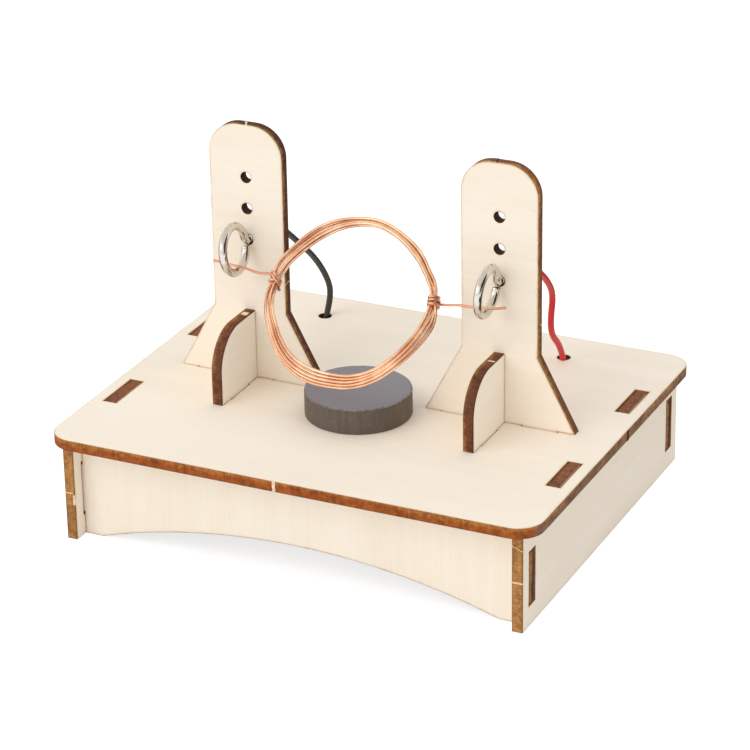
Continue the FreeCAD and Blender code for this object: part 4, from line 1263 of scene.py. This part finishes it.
class MOTOR_OT_battery_holder(bpy.types.Operator):
    """Finish the battery holder under the deck, its contacts, its tape and its cell"""

    bl_idname = "motor.battery_holder"
    bl_label = "Battery holder"

    SPRING_STEPS = 16      # points round each turn of the spring
    SQUEEZE = 0.18 * MM    # how far the tape's upper and lower rims draw in

    # The cell's film over its rim: mm from the can's end, and share of the can's radius.
    FILM = [(0.35, 0.62), (0.05, 0.80), (0.0, 0.90), (0.12, 0.97), (0.45, 1.0)]

    def execute(self, context):
        holder = settings("holder")
        metal = metal_material("contact_metal", holder.sheet_metal, 0.18, 0.34)
        plastic = plastic_material("holder_plastic", holder.plastic, 0.42, 0.58, 1800.0, 0.012,
                                   1.25)
        self.rounded_copy("battery_holder", "holder_tray", holder.edge, "holder_plastic", plastic)
        for node in ("negative_contact", "positive_contact"):
            self.rounded_copy(node, node + "_sheet", 0.07 * MM, "contact_metal", metal)
        self.spring(metal)
        self.cell()
        self.foam()
        return {"FINISHED"}

    def rounded_copy(self, node, name, width, slot, material):
        bm = node_bmesh(node)
        round_edges(bm, sharp_edges(bm), width)
        finish_mesh(name, bm, (material,), slot, node)

    def spring(self, metal):
        """A conical spring whose two end turns lie flat."""
        holder = settings("holder")
        wire = holder.spring_wire
        low, high, middle = node_box("negative_spring")
        base = (high.z - low.z - wire) / 2
        tip = base * 0.6
        path = []
        steps = int(holder.spring_turns * self.SPRING_STEPS)
        for step in range(steps + 1):
            share = step / steps
            rise = smooth((share - 0.12) / 0.76)
            turn = math.tau * step / self.SPRING_STEPS
            radius = base + (tip - base) * share
            x = low.x + wire / 2 + rise * (high.x - low.x - wire)
            path.append(Vector((x, middle.y + radius * math.cos(turn),
                                middle.z + radius * math.sin(turn))))
        wire_piece("negative_spring_wire", [path], wire, metal, "stand", "contact_metal",
                   "negative_spring")

    def cell(self):
        """A film-wrapped steel can with a stepped button and crimped ends."""
        low, high, middle = node_box("battery_cell")
        radius = (high.z - low.z) / 2
        span = high.x - low.x
        foot = span - 1.3 * MM   # where the button starts
        button = 2.6 * MM
        inset = 0.3 * MM         # the steel ends lie deeper than the film's rim
        outline = [(inset, 0.0), (inset, 0.64 * radius)]
        outline += [(x * MM, share * radius) for x, share in self.FILM]
        outline += [(foot - x * MM, share * radius) for x, share in reversed(self.FILM)]
        outline += [(foot - inset, 0.64 * radius), (foot - inset, button + 0.5 * MM),
                    (foot - 0.1 * MM, button), (span - 0.2 * MM, button - 0.1 * MM),
                    (span, button - 0.35 * MM), (span, 0.0)]
        bm = turned_mesh(outline, 64)
        for face in bm.faces:
            spot = face.calc_center_median()
            face.material_index = 0 if math.hypot(spot.y, spot.z) > 0.63 * radius else 1
        bmesh.ops.translate(bm, verts=bm.verts, vec=(low.x, middle.y, middle.z))
        steel = metal_material("cell_steel", settings("holder").steel, 0.2, 0.34)
        finish_mesh("cell_can", bm, (cell_jacket_material(), steel), "cell_jacket", "battery_cell")

    def foam(self):
        """Foam tape, squeezed a little between the deck and the holder."""
        bm = node_bmesh("holder_foam_tape")
        low, high, middle = node_box("holder_foam_tape")
        bmesh.ops.triangulate(bm, faces=bm.faces)
        bmesh.ops.join_triangles(bm, faces=bm.faces, angle_face_threshold=0.1,
                                 angle_shape_threshold=3.2)
        bmesh.ops.subdivide_edges(bm, edges=bm.edges, cuts=5, use_grid_fill=True)
        for vert in bm.verts:
            level = (vert.co.z - low.z) / (high.z - low.z)
            squeeze = self.SQUEEZE * (math.sin(math.pi * level) - 1.0)
            for axis in (0, 1):
                edge = high[axis] if vert.co[axis] > middle[axis] else low[axis]
                if abs(vert.co[axis] - edge) < WELD:
                    vert.co[axis] += squeeze * (1 if edge == high[axis] else -1)
        finish_mesh("foam_tape_pad", bm, (foam_material(),), "foam", "holder_foam_tape")


# ---------------------------------------------------------------- stage

FLOOR_SEEN = (0.5, 0.5, 0.5)       # the floor's colour as the camera and shiny pieces see it
FLOOR_GLOW = (0.74, 0.74, 0.74)    # and the light that lifts it to white for them
BLACK = (0.0, 0.0, 0.0)
WHITE = (1.0, 1.0, 1.0)


def seen(nodes):
    """1 for the rays by which the camera and shiny pieces see a thing."""
    path = nodes.add("LightPath").outputs
    return nodes.maths("MAXIMUM", path["Is Camera Ray"],
                       nodes.maths("MAXIMUM", path["Is Glossy Ray"], path["Is Transmission Ray"]))


def floor_material():
    """A pale floor that the camera and shiny pieces see as white, with its shadow kept."""
    nodes = Finish("floor")
    mask = seen(nodes)
    return nodes.done(Base_Color=nodes.blend(mask, settings("stage").floor, FLOOR_SEEN),
                      Emission_Color=nodes.blend(mask, BLACK, FLOOR_GLOW),
                      Roughness=1.0, Specular_IOR_Level=0.0, Emission_Strength=1.0)


def white_world():
    """Even light that the camera and shiny pieces see as a white background."""
    world = bpy.data.worlds.new("studio")
    world.use_nodes = True
    world.node_tree.nodes.clear()
    nodes = Shader(world.node_tree)
    strength = nodes.add("Mix", {0: seen(nodes), 2: settings("stage").sky, 3: 1.0},
                         data_type="FLOAT").outputs[0]
    light = nodes.add("Background", {"Color": WHITE, "Strength": strength})
    nodes.add("OutputWorld", {"Surface": light.outputs[0]})
    bpy.context.scene.world = world


def stage_sheet(name, material, size, place):
    """A flat square of the stage."""
    bm = bmesh.new()
    bmesh.ops.create_grid(bm, x_segments=1, y_segments=1, size=size, matrix=place)
    sheet = link(bpy.data.objects.new(name, mesh_from(bm, name, material)))
    return sheet


class MOTOR_OT_stage(bpy.types.Operator):
    """Lay the pale floor, light it softly and set the camera"""

    bl_idname = "motor.stage"
    bl_label = "Stage"

    FLOOR_REACH = 6.0                    # metres from the middle to a side
    LAMP_PLACE = (-0.50, -0.74, 0.62)    # the way to the lamp: from the front left, above
    LAMP_SPREAD = 50 * DEGREE

    # Cards that only shiny pieces see: tone, and middle, width and height in metres.
    CARDS = {
        "left_floor_card": (0.08, (-0.328, 0.285, 0.0005), (0.544, 0.0, 0.0), (0.0, 0.63, 0.0)),
        "back_floor_card": (0.08, (0.022, 0.323, 0.0005), (0.156, 0.0, 0.0), (0.0, 0.554, 0.0)),
        "right_floor_card": (0.05, (0.34, 0.13, 0.0005), (0.56, 0.0, 0.0), (0.0, 0.32, 0.0)),
        "right_card": (0.05, (0.108, -0.042, 0.015), (0.021, 0.051, 0.0), (0.0, 0.0, 0.03)),
        "right_wall_card": (0.03, (0.5, -0.15, 0.3), (0.0, 0.7, 0.0), (0.0, 0.0, 0.52)),
        "ceiling_card": (1.0, (0.0, 0.0, 0.6), (1.5, 0.0, 0.0), (0.0, 1.5, 0.0)),
    }

    def execute(self, context):
        stage_sheet("floor", floor_material(), self.FLOOR_REACH, Matrix.Identity(4))
        white_world()
        self.key_lamp()
        self.reflector_cards()
        self.camera()
        context.scene.view_settings.view_transform = "Standard"
        return {"FINISHED"}

    def key_lamp(self):
        """One broad soft lamp."""
        data = bpy.data.lights.new("key", "SUN")
        data.energy = settings("stage").key
        data.angle = self.LAMP_SPREAD
        data.color = (1.0, 0.98, 0.95)
        lamp = link(bpy.data.objects.new("key", data))
        lamp.rotation_mode = "QUATERNION"
        lamp.rotation_quaternion = Vector(self.LAMP_PLACE).to_track_quat("Z", "Y")

    def reflector_cards(self):
        """Cards darker than the room, which give the metal its edges."""
        for name, (tone, middle, width, height) in self.CARDS.items():
            material = Finish(name).done(Base_Color=(tone, 0.95 * tone, 0.88 * tone),
                                         Roughness=0.9)
            width, height = Vector(width), Vector(height)
            spread = Matrix((width, height, width.cross(height).normalized())).transposed()
            card = stage_sheet(name, material, 0.5, Matrix.Translation(middle) @ spread.to_4x4())
            card.visible_camera = False
            card.visible_diffuse = False
            card.visible_shadow = False
            card.visible_transmission = False

    def camera(self):
        stage = settings("stage")
        data = bpy.data.cameras.new("camera")
        data.lens = stage.lens
        data.sensor_width = 36.0
        data.clip_start = 0.01
        data.clip_end = 50.0
        turned = (Matrix.Rotation(stage.azimuth, 4, "Z")
                  @ Matrix.Rotation(math.pi / 2 - stage.elevation, 4, "X"))
        place = Vector(stage.target) + turned.to_3x3() @ Vector((0, 0, 1)) * stage.distance
        camera = link(bpy.data.objects.new("camera", data))
        camera.matrix_world = (Matrix.Translation(place) @ turned
                               @ Matrix.Rotation(stage.roll, 4, "Z"))
        bpy.context.scene.camera = camera


# ---------------------------------------------------------------- panel and registration

OPERATORS = (
    MOTOR_OT_stage,
    MOTOR_OT_leads,
    MOTOR_OT_plywood,
    MOTOR_OT_screw_eyes,
    MOTOR_OT_magnet,
    MOTOR_OT_coil,
    MOTOR_OT_battery_holder,
)


class MOTOR_PT_pieces(bpy.types.Panel):
    """The motor's pieces and their settings"""

    bl_label = "Demonstration Motor"
    bl_space_type = "VIEW_3D"
    bl_region_type = "UI"
    bl_category = "Motor"

    def draw(self, context):
        for operator in OPERATORS:
            self.layout.operator(operator.bl_idname)
        for name, group in SETTINGS.items():
            box = self.layout.box()
            box.label(text=group.__doc__)
            for field in group.__annotations__:
                box.prop(getattr(context.scene, name), field)


CLASSES = (*SETTINGS.values(), *OPERATORS, MOTOR_PT_pieces)
GROUP_BUILDERS = (build_basswood_grain, build_smoked_rim, build_charred_cut,
                  build_handled_metal, build_soft_skin)


def register():
    for item in CLASSES:
        bpy.utils.register_class(item)
    for name, group in SETTINGS.items():
        setattr(bpy.types.Scene, name, PointerProperty(type=group))


def unregister():
    for name in SETTINGS:
        delattr(bpy.types.Scene, name)
    for item in reversed(CLASSES):
        bpy.utils.unregister_class(item)


def main():
    register()
    for build in GROUP_BUILDERS:
        build()
    for operator in OPERATORS:
        family, action = operator.bl_idname.split(".")
        getattr(getattr(bpy.ops, family), action)()


if __name__ == "__main__":
    main()
